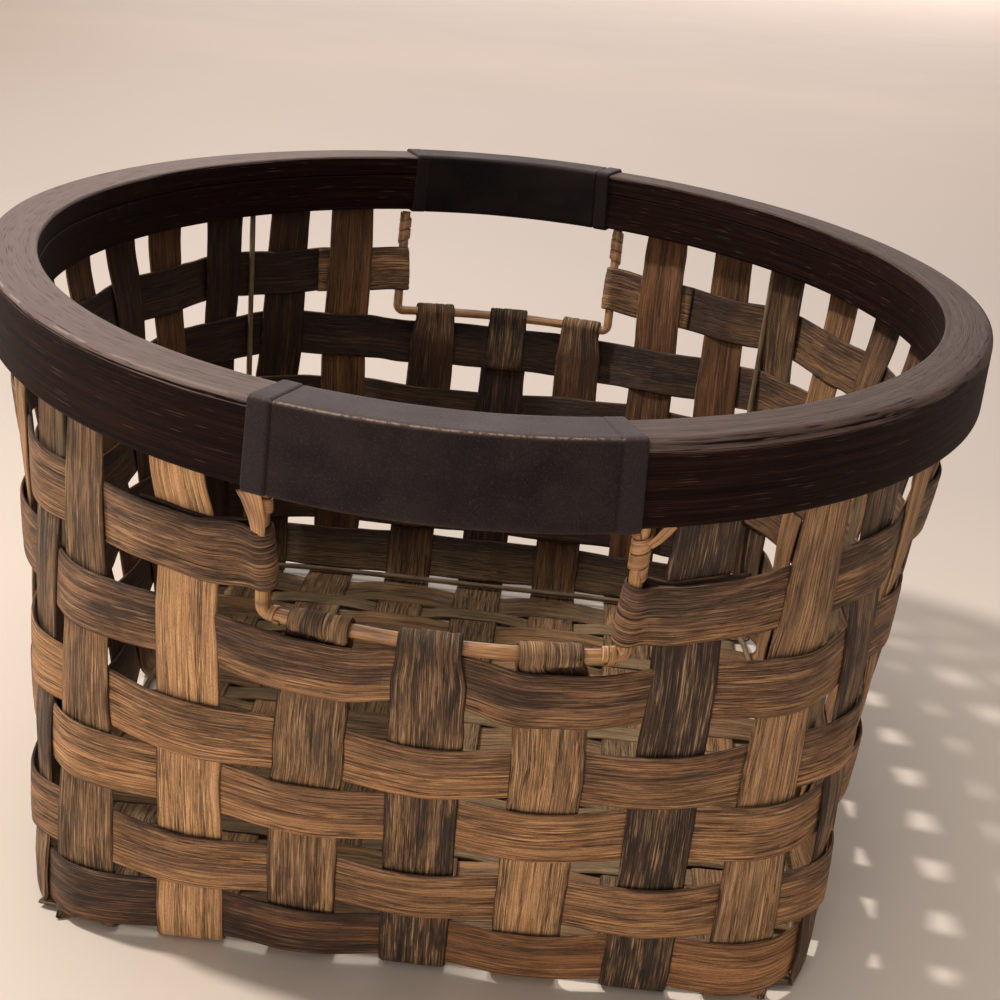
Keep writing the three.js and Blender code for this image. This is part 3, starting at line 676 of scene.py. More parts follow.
def rimWood(name, look):
    shader = Shader(name)
    fine = shader.grain(18, 2500, detail=4, roughness=0.7)
    bands = shader.grain(4, 420, (2, 5))
    grain = fine * 0.7 + bands * 0.3
    color = grain.ramp((0.38, 0.5, 0.62), look["colors"])
    color = color.painted(look["brown"], shader.grain(9, 40, (5, 1)).range(0.5, 0.75, 0, 0.45))
    # painted sheen on the top face, strongest at the left
    top = grain.ramp((0.38, 0.52, 0.64), look["top"])
    top = top.painted(look["dustAndSheen"], shader.axis("X").range(-0.14, 0.1, look["leftSheen"], 0))
    # the painted sheen of the top frays into the outer face along the fibres
    cover = shader.attribute("topFace")
    fray = cover * (1 - cover) * grain.range(0.38, 0.62, -2.6, 2.6)
    color = color.painted(top, (cover + fray).range(0.35, 0.65))
    pores = shader.grain(60, 2600, (3, 9), detail=2).range(0.58, 0.68, 0, 0.7)
    color = color.painted(look["colors"][0], pores)
    scratches = shader.grain(60, 2200, (7, 1), detail=1).range(0.69, 0.75, 0, look["scratches"])
    color = color.painted(look["scratch"], scratches)
    # a painted highlight with worn specks along the outer top edge
    edge = shader.attribute("edgeHighlightAndWear") ** 2.6 * shader.grain(60, 500, detail=4).range(0.47, 0.53)
    color = color.painted(look["worn"], edge)
    height = fine * 0.6 + bands * 0.6 - pores * 0.5
    return shader.finish(color, fine.range(0.3, 0.7, *look["roughness"]), (height, 0.0004, 0.6),
                         specular=0.05)


stainedRim = rimWood("stainedRim", {
    "colors": [(12, 4, 3), (26, 12, 9), (46, 27, 21)], "brown": (50, 31, 23),
    "top": [(58, 44, 40), (82, 67, 62), (102, 86, 80)], "dustAndSheen": (150, 134, 130), "leftSheen": 0.4,
    "worn": (196, 178, 166), "scratch": (116, 90, 78), "scratches": 0.45, "roughness": (0.5, 0.65),
})


def gripLeather(name, look):
    shader = Shader(name)
    place = shader.place()
    pebbles = shader.node("ShaderNodeTexVoronoi", {"Vector": place, "Scale": 1900}, "Distance", feature="F1")
    cloud = shader.noise(place, (45, 45, 45), detail=4)
    fine = shader.noise(place, (1900, 1900, 1900))
    worn = shader.attribute("edgeHighlightAndWear")
    color = cloud.ramp((0.35, 0.5, 0.68), look["colors"])
    color = color.painted(look["band"], shader.attribute("bandFace") * 0.6)
    # painted sheen on the top face
    color = color.painted(look["top"], shader.attribute("topFace"))
    color = color.painted(look["dustAndSheen"], fine.range(0.54, 0.68, 0, 0.4))
    color = color.painted(look["colors"][0], fine.range(0.3, 0.44, 0.55, 0))
    # along the edges a rubbed tint and a painted highlight with wear, the lower outer bevel included
    color = color.painted(look["rubbed"], worn * 0.35)
    edge = worn ** 3 * shader.noise(place, (700, 700, 700)).range(0.4, 0.56, 0.1, 1)
    color = color.painted(look["worn"], edge * look["edgeWear"])
    color = color.painted(look["seam"], shader.attribute("seamLine") * 0.8)
    return shader.finish(color, cloud.range(0.3, 0.7, *look["roughness"]),
                         (pebbles * 0.7 + fine * 0.6, 0.00025, 0.7), specular=0.12)


darkLeather = gripLeather("darkLeather", {
    "colors": [(24, 17, 18), (38, 28, 29), (48, 37, 36)], "dustAndSheen": (66, 57, 58),
    "band": (50, 43, 44), "top": (72, 62, 62), "rubbed": (84, 64, 50), "worn": (164, 146, 130),
    "seam": (14, 10, 10), "edgeWear": 0.9, "roughness": (0.55, 0.7),
})
duskyLeather = gripLeather("duskyLeather", {
    "colors": [(14, 8, 7), (24, 15, 13), (33, 22, 19)], "dustAndSheen": (46, 36, 34),
    "band": (34, 26, 24), "top": (60, 50, 50), "rubbed": (58, 44, 34), "worn": (112, 98, 86),
    "seam": (8, 5, 5), "edgeWear": 0.7, "roughness": (0.55, 0.7),
})
print("materials made")


def stakeAt(place, distance, depth, **more):
    return station(place["at"] + place["climb"] * distance + place["outward"] * depth,
                   place["climb"], place["across"], place["outward"], inner=place["inner"],
                   bow=place["bow"], **more)


def weaverAt(place, distance, depth):
    return station(place["at"] + place["around"] * distance + place["outward"] * depth,
                   place["around"], place["rise"], place["outward"], inner=place["inner"])


def foldAngles():
    turn = math.radians(hand["foldTurn"])
    steps = hand["foldSteps"]
    return [math.pi / 2 + turn * (step / steps - 0.5) for step in range(steps + 1)]


def turnOver(wall, index):
    bar = spot(wall, index, hand["barHeight"])
    middle = bar["at"] - bar["climb"] * (hand["barHeight"] - barLevel(wall, index * wall["pitch"]))
    row = spot(wall, index, rowLevel(wall, index, weave["fullRows"]))
    start = 1 if isStakeOutside(index, weave["fullRows"]) else -1
    width = hand["turnedWidth"] / weave["stakeWidth"]
    stations = []
    for turn in foldAngles():
        radial = bar["outward"] * (start * math.cos(turn)) + bar["rise"] * math.sin(turn)
        along = bar["outward"] * (-start * math.sin(turn)) + bar["rise"] * math.cos(turn)
        stations.append(station(middle + radial * hand["foldRadius"], along, bar["around"],
                                radial * start, width=width, ribs=1, inner=0))
    for distance in (hand["tailStart"], hand["tailShort"] - weave["weaverWidth"] / 2):
        made = stakeAt(row, distance, tailDepth(index, weave["fullRows"]), width=width)
        stations.append({**made, "outward": -row["outward"], "along": -row["climb"]})
    return stations


def wallStations(wall, index):
    isTurned = wall["hasHand"] and abs(index) <= weave["turnedReach"]
    stations = [stakeAt(spot(wall, index, rowLevel(wall, index, row)), 0, stakeDepth(wall, index, row))
                for row in range(1, (weave["fullRows"] if isTurned else weave["topRow"]) + 1)]
    if isTurned:
        return stations + turnOver(wall, index)
    place = spot(wall, index, weave["rimUnderside"])
    outward = place["around"].cross(up)
    return stations + [station(place["at"] + up * rise, up, place["around"], outward, bow=place["bow"])
                       for rise in (weave["headStart"], weave["headSeat"])]


def footTurn(wall, index):
    place = spot(wall, index, weave["baseLevel"])
    at, around, turn = place["at"], place["around"], weave["footTurn"]
    flatOut = around.cross(up)
    return [
        station(at - flatOut * turn, flatOut, around, down),
        station(at + (up - flatOut) * (weave["footCorner"] * turn), (flatOut + up).normalized(), around,
                (flatOut - up).normalized()),
        stakeAt(place, turn, 0),
    ]


def reverseStation(made):
    return {**made, "along": -made["along"]}


def crossingsOfLong(index):
    # odd long splints pass under the cross splints and over the fillers, even ones the other way
    sink = -1 if index % 2 == 0 else 1
    reach, pitch = sideOutline["reach"], sideOutline["pitch"]
    splints = [(other * pitch, weave["stakeWidth"], sink) for other in range(-reach, reach + 1)]
    fillers = [((other + 0.5) * pitch, weave["fillerWidth"], -sink) for other in range(-reach, reach)]
    return sorted(splints + fillers)


def crossingsOfCross(sign):
    reach, pitch = endOutline["reach"], endOutline["pitch"]
    return [(other * pitch, weave["stakeWidth"], sign if other % 2 == 0 else -sign)
            for other in range(-reach, reach + 1)]


def acrossBase(startWall, offset, crossings, startDrift=0, endDrift=0):
    middle = startWall["along"] * offset + up * weave["baseLevel"]
    heading = -startWall["out"]
    far = crossings[-1][0]
    stations = []
    for place, width, sink in crossings:
        aside = startDrift + (endDrift - startDrift) * (place + far) / (2 * far)
        for distance in (weave["crossingEnd"] - width / 2, width / 2 - weave["crossingEnd"]):
            at = (middle + heading * (place + distance) + startWall["along"] * aside
                  + down * (sink * weave["layer"] / 2))
            stations.append(station(at, heading, startWall["along"], down))
    return stations


def throughStations(startWall, endWall, index, crossings):
    base = acrossBase(startWall, index * endWall["pitch"], crossings,
                      drift(startWall, index, 0), -drift(endWall, -index, 0))
    start = footTurn(startWall, index) + wallStations(startWall, index)
    end = footTurn(endWall, -index) + wallStations(endWall, -index)
    return ([reverseStation(made) for made in reversed(start)] + base
            + [{**made, "across": -made["across"]} for made in end])


# how light each strip is, from dark 0 to pale 1, at even steps from its start to its end
longTones = {
    -3: [0.35, 0.4, 0.15],
    -2: [1.0, 0.92, 0.9, 0.5, 0.7],
    -1: [0.36, 0.46, 0.45, 0.4, 0.1],
    0: [0.18, 0.14, 0.3, 0.2, 0.05],
    1: [0.15, 0.92, 0.75, 0.5, 0.6],
    2: [-0.15, 0.24, 0.3, 0.5, 0.8],
    3: [0.62, 0.58, 0.65, 0.5, 0.75],
}
crossTones = [0.2, 0.7, 0.3, 0.75, 0.2, 0.65, 0.35, 0.7, 0.2]

for index in range(-3, 4):
    stations = throughStations(walls["front"], walls["back"], index, crossingsOfLong(index))
    strip(f"longSplint{index + 4}", stations, weave["stakeWidth"], stakeWood,
          "dark_splint" if index % 2 == 0 else "light_splint", 100 + index, longTones[index],
          (f"long_splint_{index + 4}",), crown=0.0001)
for index in range(-4, 5):
    stations = throughStations(walls["left"], walls["right"], -index, crossingsOfCross(1))
    tone = crossTones[index + 4]
    strip(f"crossSplint{index + 5}", stations, weave["stakeWidth"], stakeWood,
          "dark_splint" if index % 2 == 0 else "light_splint", 200 + index, [tone, 0.5 * tone + 0.3, tone],
          (f"cross_splint_{index + 5}",), crown=0.0001)
for index in range(-4, 4):
    stations = acrossBase(walls["left"], -(index + 0.5) * sideOutline["pitch"], crossingsOfCross(-1))
    for made, side in ((stations[0], 1), (stations[-1], -1)):
        made["at"] = made["at"] + walls["left"]["out"] * (side * weave["fillerTuck"])
    strip(f"baseFiller{index + 5}", stations, weave["fillerWidth"], fillerWood, "light_splint", 230 + index,
          [0.4, 0.6, 0.5], (f"base_filler_{index + 5}",), crown=0.0, columns=14, sway=0.0003)
print("splints of the base and walls made")


def rowOnWall(wall, row, first, last):
    stations = []
    for index in range(first, last + 1):
        place = spot(wall, index, rowLevel(wall, index, row))
        flat = hand["endFlat"]
        stations += [weaverAt(place, distance, weaverDepth(wall, index, row))
                     for distance in ((-flat, flat) if holdsEnd(wall, index, row) else (0,))]
    return stations


def fullRow(row):
    stations = []
    for key in ("back", "left", "front", "right"):
        stations += rowOnWall(walls[key], row, -walls[key]["reach"], walls[key]["reach"])
    # the ends meet behind a stake of the back wall
    if not isStakeOutside(walls["back"]["reach"], row):
        stations = stations[1:] + stations[:1]
    return stations + stations[:1]


def loopEnd(wall, index, side):
    place = spot(wall, index, rowLevel(wall, index, weave["topRow"]))
    upright = wallFrame(wall, uprightAt[side], loopLevel(wall, side))
    outward, around = upright["outward"], upright["around"] * side
    stations = []
    for distance in (hand["loopTail"], -hand["tailStart"]):
        made = weaverAt(place, side * distance, tailDepth(index, weave["topRow"]))
        stations.append({**made, "outward": -place["outward"], "along": -side * place["around"]})
    for turn in foldAngles():
        facing = outward * -math.cos(turn) - around * math.sin(turn)
        along = outward * math.sin(turn) - around * math.cos(turn)
        stations.append(station(upright["at"] + facing * hand["foldRadius"], along, upright["climb"],
                                facing, ribs=1))
    return stations


def topRowHalf(startWall, sideWall, endWall):
    outer = weave["turnedReach"] + 1
    row = weave["topRow"]
    last = [reverseStation(made) for made in reversed(loopEnd(endWall, -outer, -1))]
    return (loopEnd(startWall, outer, 1)
            + rowOnWall(startWall, row, outer, startWall["reach"])
            + rowOnWall(sideWall, row, -sideWall["reach"], sideWall["reach"])
            + rowOnWall(endWall, row, -endWall["reach"], -outer)
            + last)


rowFinish = {
    1: {"material": footWood, "tones": [0.3, 0.4, 0.06, 0.08, 0.9, 0.6, 0.3], "slot": "red_weaver"},
    2: {"material": weaverWood, "tones": [0.5, 0.7, 0.6, 0.5, 0.7, 0.5, 0.6], "slot": "brown_weaver"},
    3: {"material": weaverWood, "tones": [0.6, 0.5, 0.8, 0.8, 0.85, 0.5, 0.6], "slot": "red_weaver"},
    4: {"material": weaverWood, "tones": [0.4, 0.6, 0.9, 0.9, 0.5, 0.5, 0.4], "slot": "brown_weaver"},
    5: {"material": weaverWood, "tones": [0.2, 0.3, 0.22, 0.26, 0.34, 0.6, 0.3], "slot": "red_weaver"},
}
for row, finish in rowFinish.items():
    strip(f"weaverRow{row}", fullRow(row), weave["weaverWidth"], finish["material"], finish["slot"],
          300 + row, finish["tones"], (f"weaver_row_{row}",), closed=True)
for side, route, seed, tones in (("right", ("front", "right", "back"), 311, [0.3, 0.25, 0.4, 0.3]),
                                 ("left", ("back", "left", "front"), 312, [0.3, 0.4, 0.3, 0.08])):
    strip(f"topWeaver{side.capitalize()}", topRowHalf(*(walls[key] for key in route)), weave["weaverWidth"],
          weaverWood, "brown_weaver", seed, tones, (f"top_weaver_{side}",))
print("weavers made")


rim = {
    "thickness": 0.0176,
    "height": 0.0264,
    "bevel": 0.0012,
    "cap": 0.009,
    "slot": 0.0034,
    "bandGap": 0.0003,      # between the inner band and the cap
    "margin": 0.0001,       # kept free inside the size of the CAD hoop
    "steps": 420,
    "cell": 0.0011,         # longest cell of the profile
    "sharp": 0.0009,        # outer top edge where it is fresh and where it is worn
    "worn": 0.0036,
    "relief": 0.00012,
    "reliefCell": 0.04,
    "topStart": 0.0003,     # the painted sheen of the top comes this far down the faces, and further where worn
    "topReach": 0.0016,
    "topReachWorn": 0.0042,
    "freshAt": 0.15,        # where the edge is freshest, as a share of the way round
    "wornFade": 0.75,
}


def roundedOutline(corners):
    # the number of points hangs on the corners alone, so outlines with other radii match
    bends = []
    for number, (x, z, radius, mark) in enumerate(corners):
        here = Vector((x, z))
        before = Vector(corners[number - 1][:2])
        after = Vector(corners[(number + 1) % len(corners)][:2])
        to, away = (before - here).normalized(), (after - here).normalized()
        reach = radius / math.tan(math.acos(max(-1, min(1, to.dot(away)))) / 2)
        cells = max(1, round((after - here).length / rim["cell"]))
        bends.append((here + to * reach, here, here + away * reach, mark, cells))
    points, marks = [], []
    for number, (start, here, end, mark, cells) in enumerate(bends):
        following = bends[(number + 1) % len(bends)][0]
        for step in range(7):
            t = step / 6
            points.append(start * (1 - t) ** 2 + here * (2 * t * (1 - t)) + end * t * t)
            marks.append(mark * (1 - abs(2 * t - 1)) ** 1.5)
        points += [end.lerp(following, step / cells) for step in range(1, cells)]
        marks += [0] * (cells - 1)
    return np.array([tuple(point) for point in points + points[:1]]), np.array(marks + marks[:1])


def resampled(corners, count):
    points, marks = roundedOutline(corners)
    reach = runLength(points)
    at = np.linspace(0, reach[-1], count + 1)
    even = np.stack([np.interp(at, reach, points[:, 0]), np.interp(at, reach, points[:, 1])], axis=1)
    return even, np.interp(at, reach, marks), at


def hoopCorners(edge):
    # each corner is (across, height, radius, how much painted highlight and wear its edge takes)
    half, inner, ledge = rim["thickness"] / 2, rim["slot"] / 2, rim["height"] - rim["cap"]
    return [(inner, 0, 0.0005, 0), (half, 0, rim["bevel"], 0), (half, rim["height"], edge, 1),
            (-half, rim["height"], rim["bevel"], 0.3), (-half, ledge, 0.0004, 0), (inner, ledge, 0.0003, 0)]


def bandCorners():
    half, top = rim["thickness"] / 2, rim["height"] - rim["cap"] - rim["bandGap"]
    return [(-rim["slot"] / 2, 0, 0.0004, 0), (-rim["slot"] / 2, top, 0.0004, 0),
            (-half, top, 0.0004, 0), (-half, 0, rim["bevel"], 0.2)]


def rimRing(name, fresh, worn, wearAt, node, seed):
    rng = random.Random(seed)
    shares = [step / rim["steps"] for step in range(rim["steps"] + 1)]
    first, marks = roundedOutline(fresh)
    second, _ = roundedOutline(worn)
    inset = rim["thickness"] / 2 + rim["margin"]
    half = (rimBox[1].x - inset, rimBox[1].y - inset)
    places = [ovalPoint(math.pi / 2 + 2 * math.pi * share, *half, rimSquareness) for share in shares]
    at = np.array([tuple(place) for place, _ in places])
    outward = np.array([tuple(normal) for _, normal in places])
    length = runLength(at)
    wear = np.array([wearAt(share) for share in shares])[:, None]
    shape = first * (1 - wear[:, :, None]) + second * wear[:, :, None]
    relief = noiseRound(rng, length, rim["reliefCell"], len(first) - 1, True)
    relief = (0.4 * relief + 0.6 * relief ** 4) * rim["relief"]
    inwards = shape.mean(axis=1, keepdims=True) - shape
    inwards /= np.linalg.norm(inwards, axis=2)[:, :, None]
    shape = shape + inwards * relief[:, :, None]
    points = at[:, None, :] + outward[:, None, :] * shape[:, :, :1]
    points[:, :, 2] = weave["rimUnderside"] + shape[:, :, 1]
    # how far down the painted sheen of the top face reaches
    reach = rim["topReach"] + rim["topReachWorn"] * wear * (shape[:, :, 0] > 0)
    top = np.clip((shape[:, :, 1] - rim["height"] + reach) / (reach - rim["topStart"]), 0, 1)
    # the painted edge highlight fades where the edge is worn round
    return gridSkin(name, points, length, runLength(first) + seed,
                    {"edgeHighlightAndWear": marks * (1 - rim["wornFade"] * wear), "topFace": top},
                    True, stainedRim, (node,))


def edgeWear(share):
    # the outer top edge is worn round at the front right, share runs round from the back to the left
    return 0.5 - 0.5 * math.cos(2 * math.pi * (share - rim["freshAt"]))


rimRing("rimHoop", hoopCorners(rim["sharp"]), hoopCorners(rim["worn"]), edgeWear, "rim_hoop", 1)
rimRing("rimInnerBand", bandCorners(), bandCorners(), lambda share: 0, "rim_inner_band", 2)
print("rim made")


grip = {
    "halfLength": 0.052,
    "slant": 0.0012,        # the ends lean in towards the top
    "gap": 0.0002,
    "leather": 0.0009,
    "band": 0.0068,
    "bandRise": 0.0002,
    "turnIn": 0.0008,       # the last stretch, where the leather turns in
    "seamAt": 0.0003,       # past the band
    "seamWidth": 0.00035,
    "seamDepth": 0.0004,
    "edge": 0.0016,
    "bevel": 0.0022,
    "shift": {"front": 0.0, "back": 0.005},
    "sag": 0.0002,
    "sagCell": 0.014,
    "around": 168,          # points round the wrap
    "smooth": 9,            # neighbours that even out its waves
}


def gripCorners(growth):
    # the last number of each corner is how much painted highlight and wear its edge takes
    half, top = rim["thickness"] / 2 + growth, rim["height"] + growth
    return [(-half, -growth, 0.002, 0), (half, -growth, grip["bevel"], 0.4), (half, top, grip["edge"], 1),
            (-half, top, 0.0024, 0.2)]


def gripWaves(rng, reach):
    waves = noiseRound(rng, reach, grip["sagCell"], grip["around"])
    near = grip["smooth"]
    kernel = np.exp(-(np.arange(-near, near + 1) / 4.0) ** 2)
    kernel /= kernel.sum()
    padded = np.concatenate([waves[:, -near - 1:-1], waves, waves[:, 1:near + 1]], axis=1)
    return np.array([np.convolve(row, kernel, "valid") for row in padded])


def gripWrap(side, material, seed):
    length = grip["halfLength"]
    offsets = np.unique(np.concatenate([np.linspace(-length, length, 90),
                                        np.linspace(-length, -length + 0.01, 22),
                                        np.linspace(length - 0.01, length, 22)]))
    fromEnd = length - np.abs(offsets)
    isLeft = offsets < 0
    inside = np.clip(fromEnd / grip["turnIn"], 0, 1)
    ends = np.sqrt(1 - (1 - inside) ** 2)
    band = np.clip((grip["band"] - fromEnd) / grip["turnIn"], 0, 1)
    seam = np.exp(-((fromEnd - grip["band"] - grip["seamAt"]) / grip["seamWidth"]) ** 2)
    seam = seam * np.where(isLeft, 1, 0.4)
    growth = grip["gap"] + grip["leather"] * (0.35 + 0.65 * ends)
    growth = growth + grip["bandRise"] * band * ends * np.where(isLeft, 1, 0.5) - grip["seamDepth"] * seam
    reach = (offsets - offsets[0]) + 1e-6
    base, marks, around = resampled(gripCorners(grip["leather"]), grip["around"])
    waves = gripWaves(random.Random(seed), reach)
    sags = (waves * 2 - 1.5) * grip["sag"] * inside[:, None]
    outer, inner = [], []
    for offset, amount, sag in zip(offsets, growth, sags):
        place = wallFrame(walls[side], grip["shift"][side] + offset, weave["rimUnderside"])
        at, outward, along = (np.array(vector) for vector in
                              (place["at"], place["around"].cross(up), place["around"]))
        lean = -math.copysign(grip["slant"], offset) * (abs(offset) / length) ** 3
        shape, _, _ = resampled(gripCorners(amount), grip["around"])
        away = shape - shape.mean(axis=0)
        away /= np.linalg.norm(away, axis=1)[:, None]
        lining, _, _ = resampled(gripCorners(grip["gap"]), grip["around"])
        for rows, shape in ((outer, shape + away * sag[:, None]), (inner, lining)):
            rows.append(at + outward * shape[:, :1] + np.array(up) * shape[:, 1:]
                        + along * lean * (shape[:, 1:] / rim["height"] - 0.4))
    points = np.array(outer + inner[::-1] + outer[:1])
    run = np.concatenate([reach, reach[-1] + 0.001 + reach, [2 * reach[-1] + 0.002]])
    # the top face, which takes the painted sheen
    top = np.clip((base[:, 1] - rim["height"] - grip["leather"] + 0.0013) / 0.001, 0, 1)
    # values of the outer face, none on the lining, and the first again where the wrap closes
    wear, cover, bandFace, seamLine = (
        np.concatenate([values, 0 * values, values[:1]])[:, None]
        for values in (inside * (1 - band * 0.7), np.ones(len(offsets)), band, seam))
    layers = {"edgeHighlightAndWear": wear * marks, "topFace": cover * top, "bandFace": bandFace, "seamLine": seamLine}
    return gridSkin(f"{side}Grip", points, run, around, layers, True, material,
                    (f"{side}_grip_wrap",))


gripWrap("front", darkLeather, 31)
gripWrap("back", duskyLeather, 32)
print("grips made")


lashing = {
    "width": 0.0048,
    "thickness": 0.0007,
    "pitch": 0.0053,
    "lift": 0.0005,         # of its middle off the cane
    "gap": 0.0003,
    "strapTop": 0.009,      # the flat tail at the front left fans out under the grip
    "strapFoot": 0.0046,
    "bindingPitch": 0.0022,
    "bindingWidth": 0.0021,
}
windingLook = {"spacing": 0.0009, "columns": 10, "edgePower": 4, "thickness": lashing["thickness"],
               "relief": 0.00008, "ragged": 0.00012, "sway": 0.0, "twist": 0.0, "crown": 0.0}
tailLook = {"spacing": 0.0009, "columns": 12, "edgePower": 5, "thickness": 0.0008,
            "relief": 0.00012, "ragged": 0.00015, "sway": 0.0, "twist": 0.0, "crown": 0.0002}
caneLean = math.atan2(rimHalf[1] - baseHalf[1], weave["rimUnderside"])
gripUnder = weave["rimUnderside"] - 0.0013 - 0.0004


def caneTop(side, offset):
    # an upright ends under the grip, or under the bare rim where it stands past the grip's end
    isUnderGrip = abs(offset - grip["shift"][side]) < grip["halfLength"] + hand["caneRadius"] + lashing["gap"]
    under = gripUnder if isUnderGrip else weave["rimUnderside"]
    return under - lashing["gap"] - hand["caneRadius"] * math.sin(caneLean)


def caneCorner(offset, bar, start):
    bend = hand["caneBend"]
    turns = [start + math.pi / 2 * step / 4 for step in range(5)]
    return [(offset + bend * math.cos(turn), bar + bend + bend * math.sin(turn)) for turn in turns]


def handCane(side, seed):
    wall, bend = walls[side], hand["caneBend"]
    left, right = uprightAt[-1], uprightAt[1]
    leftTop, rightTop = caneTop(side, left), caneTop(side, right)
    leftBar, rightBar = barLevel(wall, left), barLevel(wall, right)
    spots = [(left, leftTop), (left, (leftTop + leftBar) / 2)] + caneCorner(left + bend, leftBar, math.pi)
    for step in range(1, 8):
        offset = left + bend + (right - left - 2 * bend) * step / 8
        spots.append((offset, barLevel(wall, offset)))
    spots += caneCorner(right - bend, rightBar, math.pi * 1.5)
    spots += [(right, (rightTop + rightBar) / 2), (right, rightTop)]
    points = [wallFrame(wall, offset, height)["at"] for offset, height in spots]
    rod(f"{side}HandCane", points, wall["out"], hand["caneRadius"], 14, 0.0015, paleCane, seed, 0.05,
        (f"{side}_hand_cane",))


def windings(name, place, axis, second, turns, pitch, width, seed, replaced=()):
    stations = []
    steps = 16
    first, radius = place["outward"], hand["caneRadius"] + lashing["lift"]
    for step in range(round(turns * steps) + 1):
        turn = 2 * math.pi * step / steps
        outward = first * math.cos(turn) + second * math.sin(turn)
        along = (first * -math.sin(turn) + second * math.cos(turn)) * (2 * math.pi * radius) + axis * pitch
        at = place["at"] + axis * (pitch * step / steps) + outward * radius
        stations.append(station(at, along.normalized(), axis, outward))
    strip(name, stations, width, paleCane, "cane", seed, [0.5], replaced, **windingLook)


def lashings(side, seed):
    wall = walls[side]
    for number, part in ((1, -1), (2, 1)):
        offset = uprightAt[part]
        low = loopLevel(wall, part) + (weave["weaverWidth"] + lashing["width"]) / 2 + lashing["gap"]
        place = wallFrame(wall, offset, low)
        length = (caneTop(side, offset) - lashing["width"] / 2 - low) / place["climb"].z
        windings(f"{side}Lashing{number}", place, place["climb"], place["across"] * part,
                 length / lashing["pitch"], lashing["pitch"], lashing["width"], seed + number,
                 (f"{side}_lashing_{number}",))


def flatTail(name, spots, widths, lifts, seed):
    # a flat piece of cane on the outside of the front wall, through (offset, height) spots
    places = [wallFrame(walls["front"], offset, height) for offset, height in spots]
    stations = []
    for number, (place, width, lift) in enumerate(zip(places, widths, lifts)):
        before, after = places[max(number - 1, 0)]["at"], places[min(number + 1, len(places) - 1)]["at"]
        along = (after - before).normalized()
        stations.append(station(place["at"] + place["outward"] * lift, along, along.cross(place["outward"]),
                                place["outward"], width=width / widths[0]))
    strip(name, stations, widths[0], paleCane, "cane", seed, [0.5], **tailLook)


for side, seed in (("front", 41), ("back", 51)):
    handCane(side, seed)
    lashings(side, seed)
left, right = uprightAt[-1], uprightAt[1]
strapFoot = loopLevel(walls["front"], -1) + weave["weaverWidth"] / 2
flatTail("frontTailLeft", [(left + 0.0004, strapFoot - 0.002), (left + 0.0002, strapFoot + 0.0025),
                           (left - 0.0012, gripUnder - 0.0035), (left - 0.0024, gripUnder - 0.0002)],
         [lashing["strapFoot"], 0.0054, 0.0074, lashing["strapTop"]], [0.0031, 0.0033, 0.0036, 0.0038], 71)
flatTail("frontTailRight", [(right + 0.001, gripUnder - 0.0056), (right + 0.0032, gripUnder - 0.003),
                            (right + 0.0064, weave["rimUnderside"] - 0.0002)],
         [0.0034, 0.0036, 0.004], [0.003, 0.0037, 0.004], 72)
for name, start, turns, seed in (("frontBarBinding", 0.0505, 1.9, 77),
                                 ("frontCornerBinding", -0.0478, 1.0, 76)):
    place = wallFrame(walls["front"], start, barLevel(walls["front"], start))
    windings(name, place, place["around"], place["rise"], turns, lashing["bindingPitch"],
             lashing["bindingWidth"], seed)
print("hand holes edged")


reed = {"radius": 0.0013, "inset": 0.0055, "sides": 10, "spacing": 0.004, "bumpy": 0.06,
        "lift": 0.0003, "headGap": 0.0004, "hoopSteps": 96}


def hoopPlace(turn):
    at, _ = ovalPoint(turn, baseHalf[0] - reed["inset"], baseHalf[1] - reed["inset"], baseSquareness)
    at.z = 2 * weave["baseLevel"] + reed["lift"] + reed["radius"]
    return at


def reedRod(name, spots, reference, seed, node, closed=False):
    rod(name, spots, reference, reed["radius"], reed["sides"], reed["spacing"], oliveReed, seed,
        reed["bumpy"], (node,), closed)


hoopSpots = [hoopPlace(2 * math.pi * (step + 0.5) / reed["hoopSteps"]) for step in range(reed["hoopSteps"])]
reedRod("baseHoop", hoopSpots + hoopSpots[:1], up, 61, "base_hoop", True)
for end, side in (("front", "left"), ("front", "right"), ("back", "left"), ("back", "right")):
    low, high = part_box(f"corner_post_{end}_{side}")
    signX, signY = (1 if side == "right" else -1), (-1 if end == "front" else 1)
    x = (low.x, high.x) if signX > 0 else (high.x, low.x)
    y = (low.y, high.y) if signY > 0 else (high.y, low.y)
    foot = Vector((x[0] + signX * reed["radius"], y[0] + signY * reed["radius"], low.z))
    head = Vector((x[1] - signX * reed["radius"], y[1] - signY * reed["radius"], high.z - reed["headGap"]))
    reedRod(f"cornerPost{end.capitalize()}{side.capitalize()}", [foot, foot.lerp(head, 0.5), head],
            Vector((signX, signY, 0)).normalized(), 62, f"corner_post_{end}_{side}")
print("inner frame made")


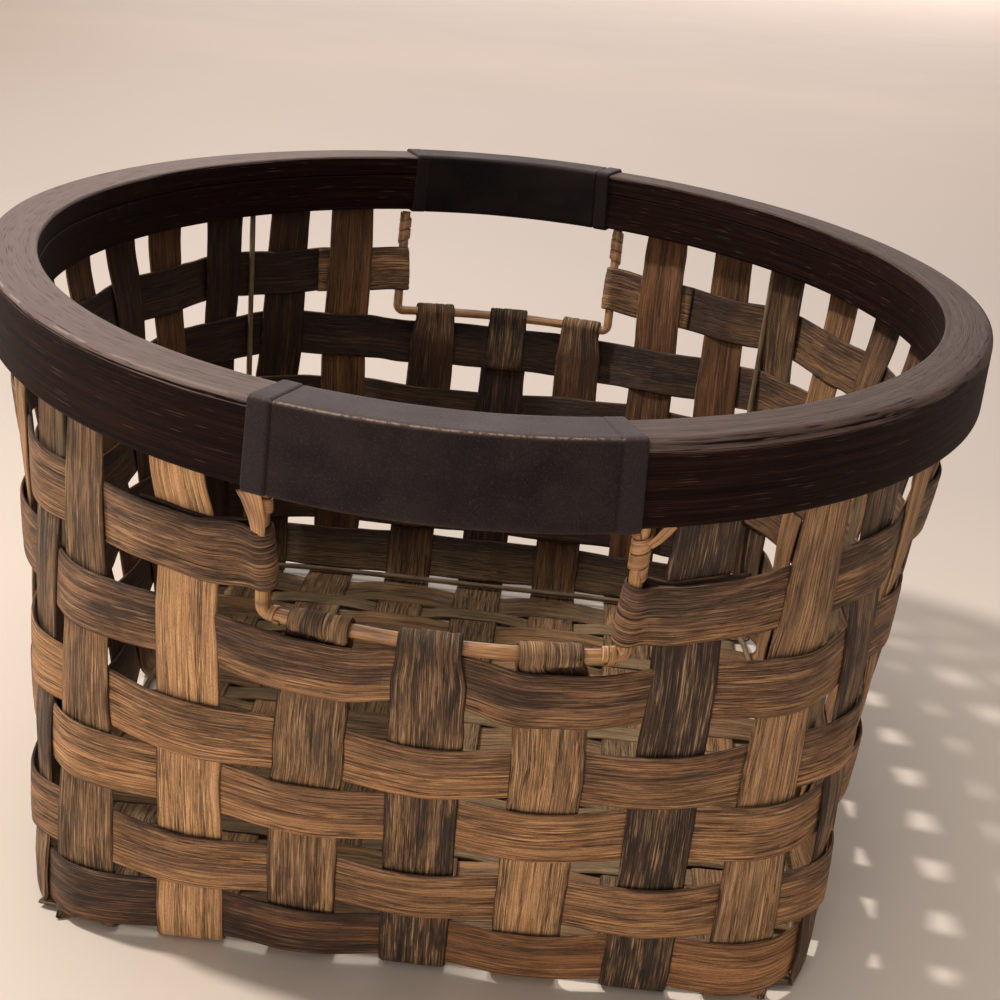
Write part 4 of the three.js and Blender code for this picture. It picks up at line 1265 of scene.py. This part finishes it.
def floorFinish():
    shader = Shader("paleFloor")
    # painted shade: duller round the basket; painted light: palest far behind it
    color = shader.axis("Y").range(0, 2.6).ramp(
        (0.0, 0.16, 0.42, 1.0), ((214, 202, 189), (192, 179, 169), (194, 180, 170), (238, 214, 197)))
    cloud = shader.noise(shader.place(), (3, 3, 3))
    return shader.finish(color.painted((200, 180, 164), cloud.range(0.3, 0.7, 0, 0.12)), 0.6)


floorMesh = bmesh.new()
bmesh.ops.create_grid(floorMesh, x_segments=4, y_segments=4, size=40)
floor = addObject("floor", meshData("floor", floorMesh))
floor.data.materials.append(floorFinish())


def softLight(name, place, target, size, power, color):
    data = bpy.data.lights.new(name, "AREA")
    data.shape = "DISK"
    data.size = size
    data.energy = power
    data.color = color
    light = addObject(name, data)
    light.location = place
    light.rotation_euler = (Vector(target) - Vector(place)).to_track_quat("-Z", "Y").to_euler()


softLight("windowLeft", (-1.4, 0.2, 1.85), (0, 0, 0.1), 0.22, 47, (1, 0.94, 0.88))
softLight("fillFront", (-0.7, -2.2, 0.45), (0, 0, 0.1), 1.3, 18, (1, 0.93, 0.87))
softLight("overhead", (0, -0.1, 1.9), (0, 0, 0), 0.9, 9, (1, 0.93, 0.86))
softLight("sweepBack", (0, 7, 1.8), (0, 0, 0.2), 5, 120, (1, 0.94, 0.9))

world = bpy.data.worlds.new("room")
world.use_nodes = True
background = world.node_tree.nodes["Background"].inputs
background["Color"].default_value = (1, 0.93, 0.87, 1)
background["Strength"].default_value = 0.38
bpy.context.scene.world = world
bpy.context.scene.view_settings.view_transform = "Standard"

view = {
    "place": (0.0280757, -0.6555728, 0.3574468),
    "turn": (69.423112, -5.328804, 3.546159),   # degrees
    "lens": 61.4909,
    "sensor": 36,
}
cameraData = bpy.data.cameras.new("camera")
cameraData.lens = view["lens"]
cameraData.sensor_width = view["sensor"]
camera = addObject("camera", cameraData)
camera.location = view["place"]
camera.rotation_euler = Euler([math.radians(angle) for angle in view["turn"]], "XYZ")
bpy.context.scene.camera = camera
print("stage set")
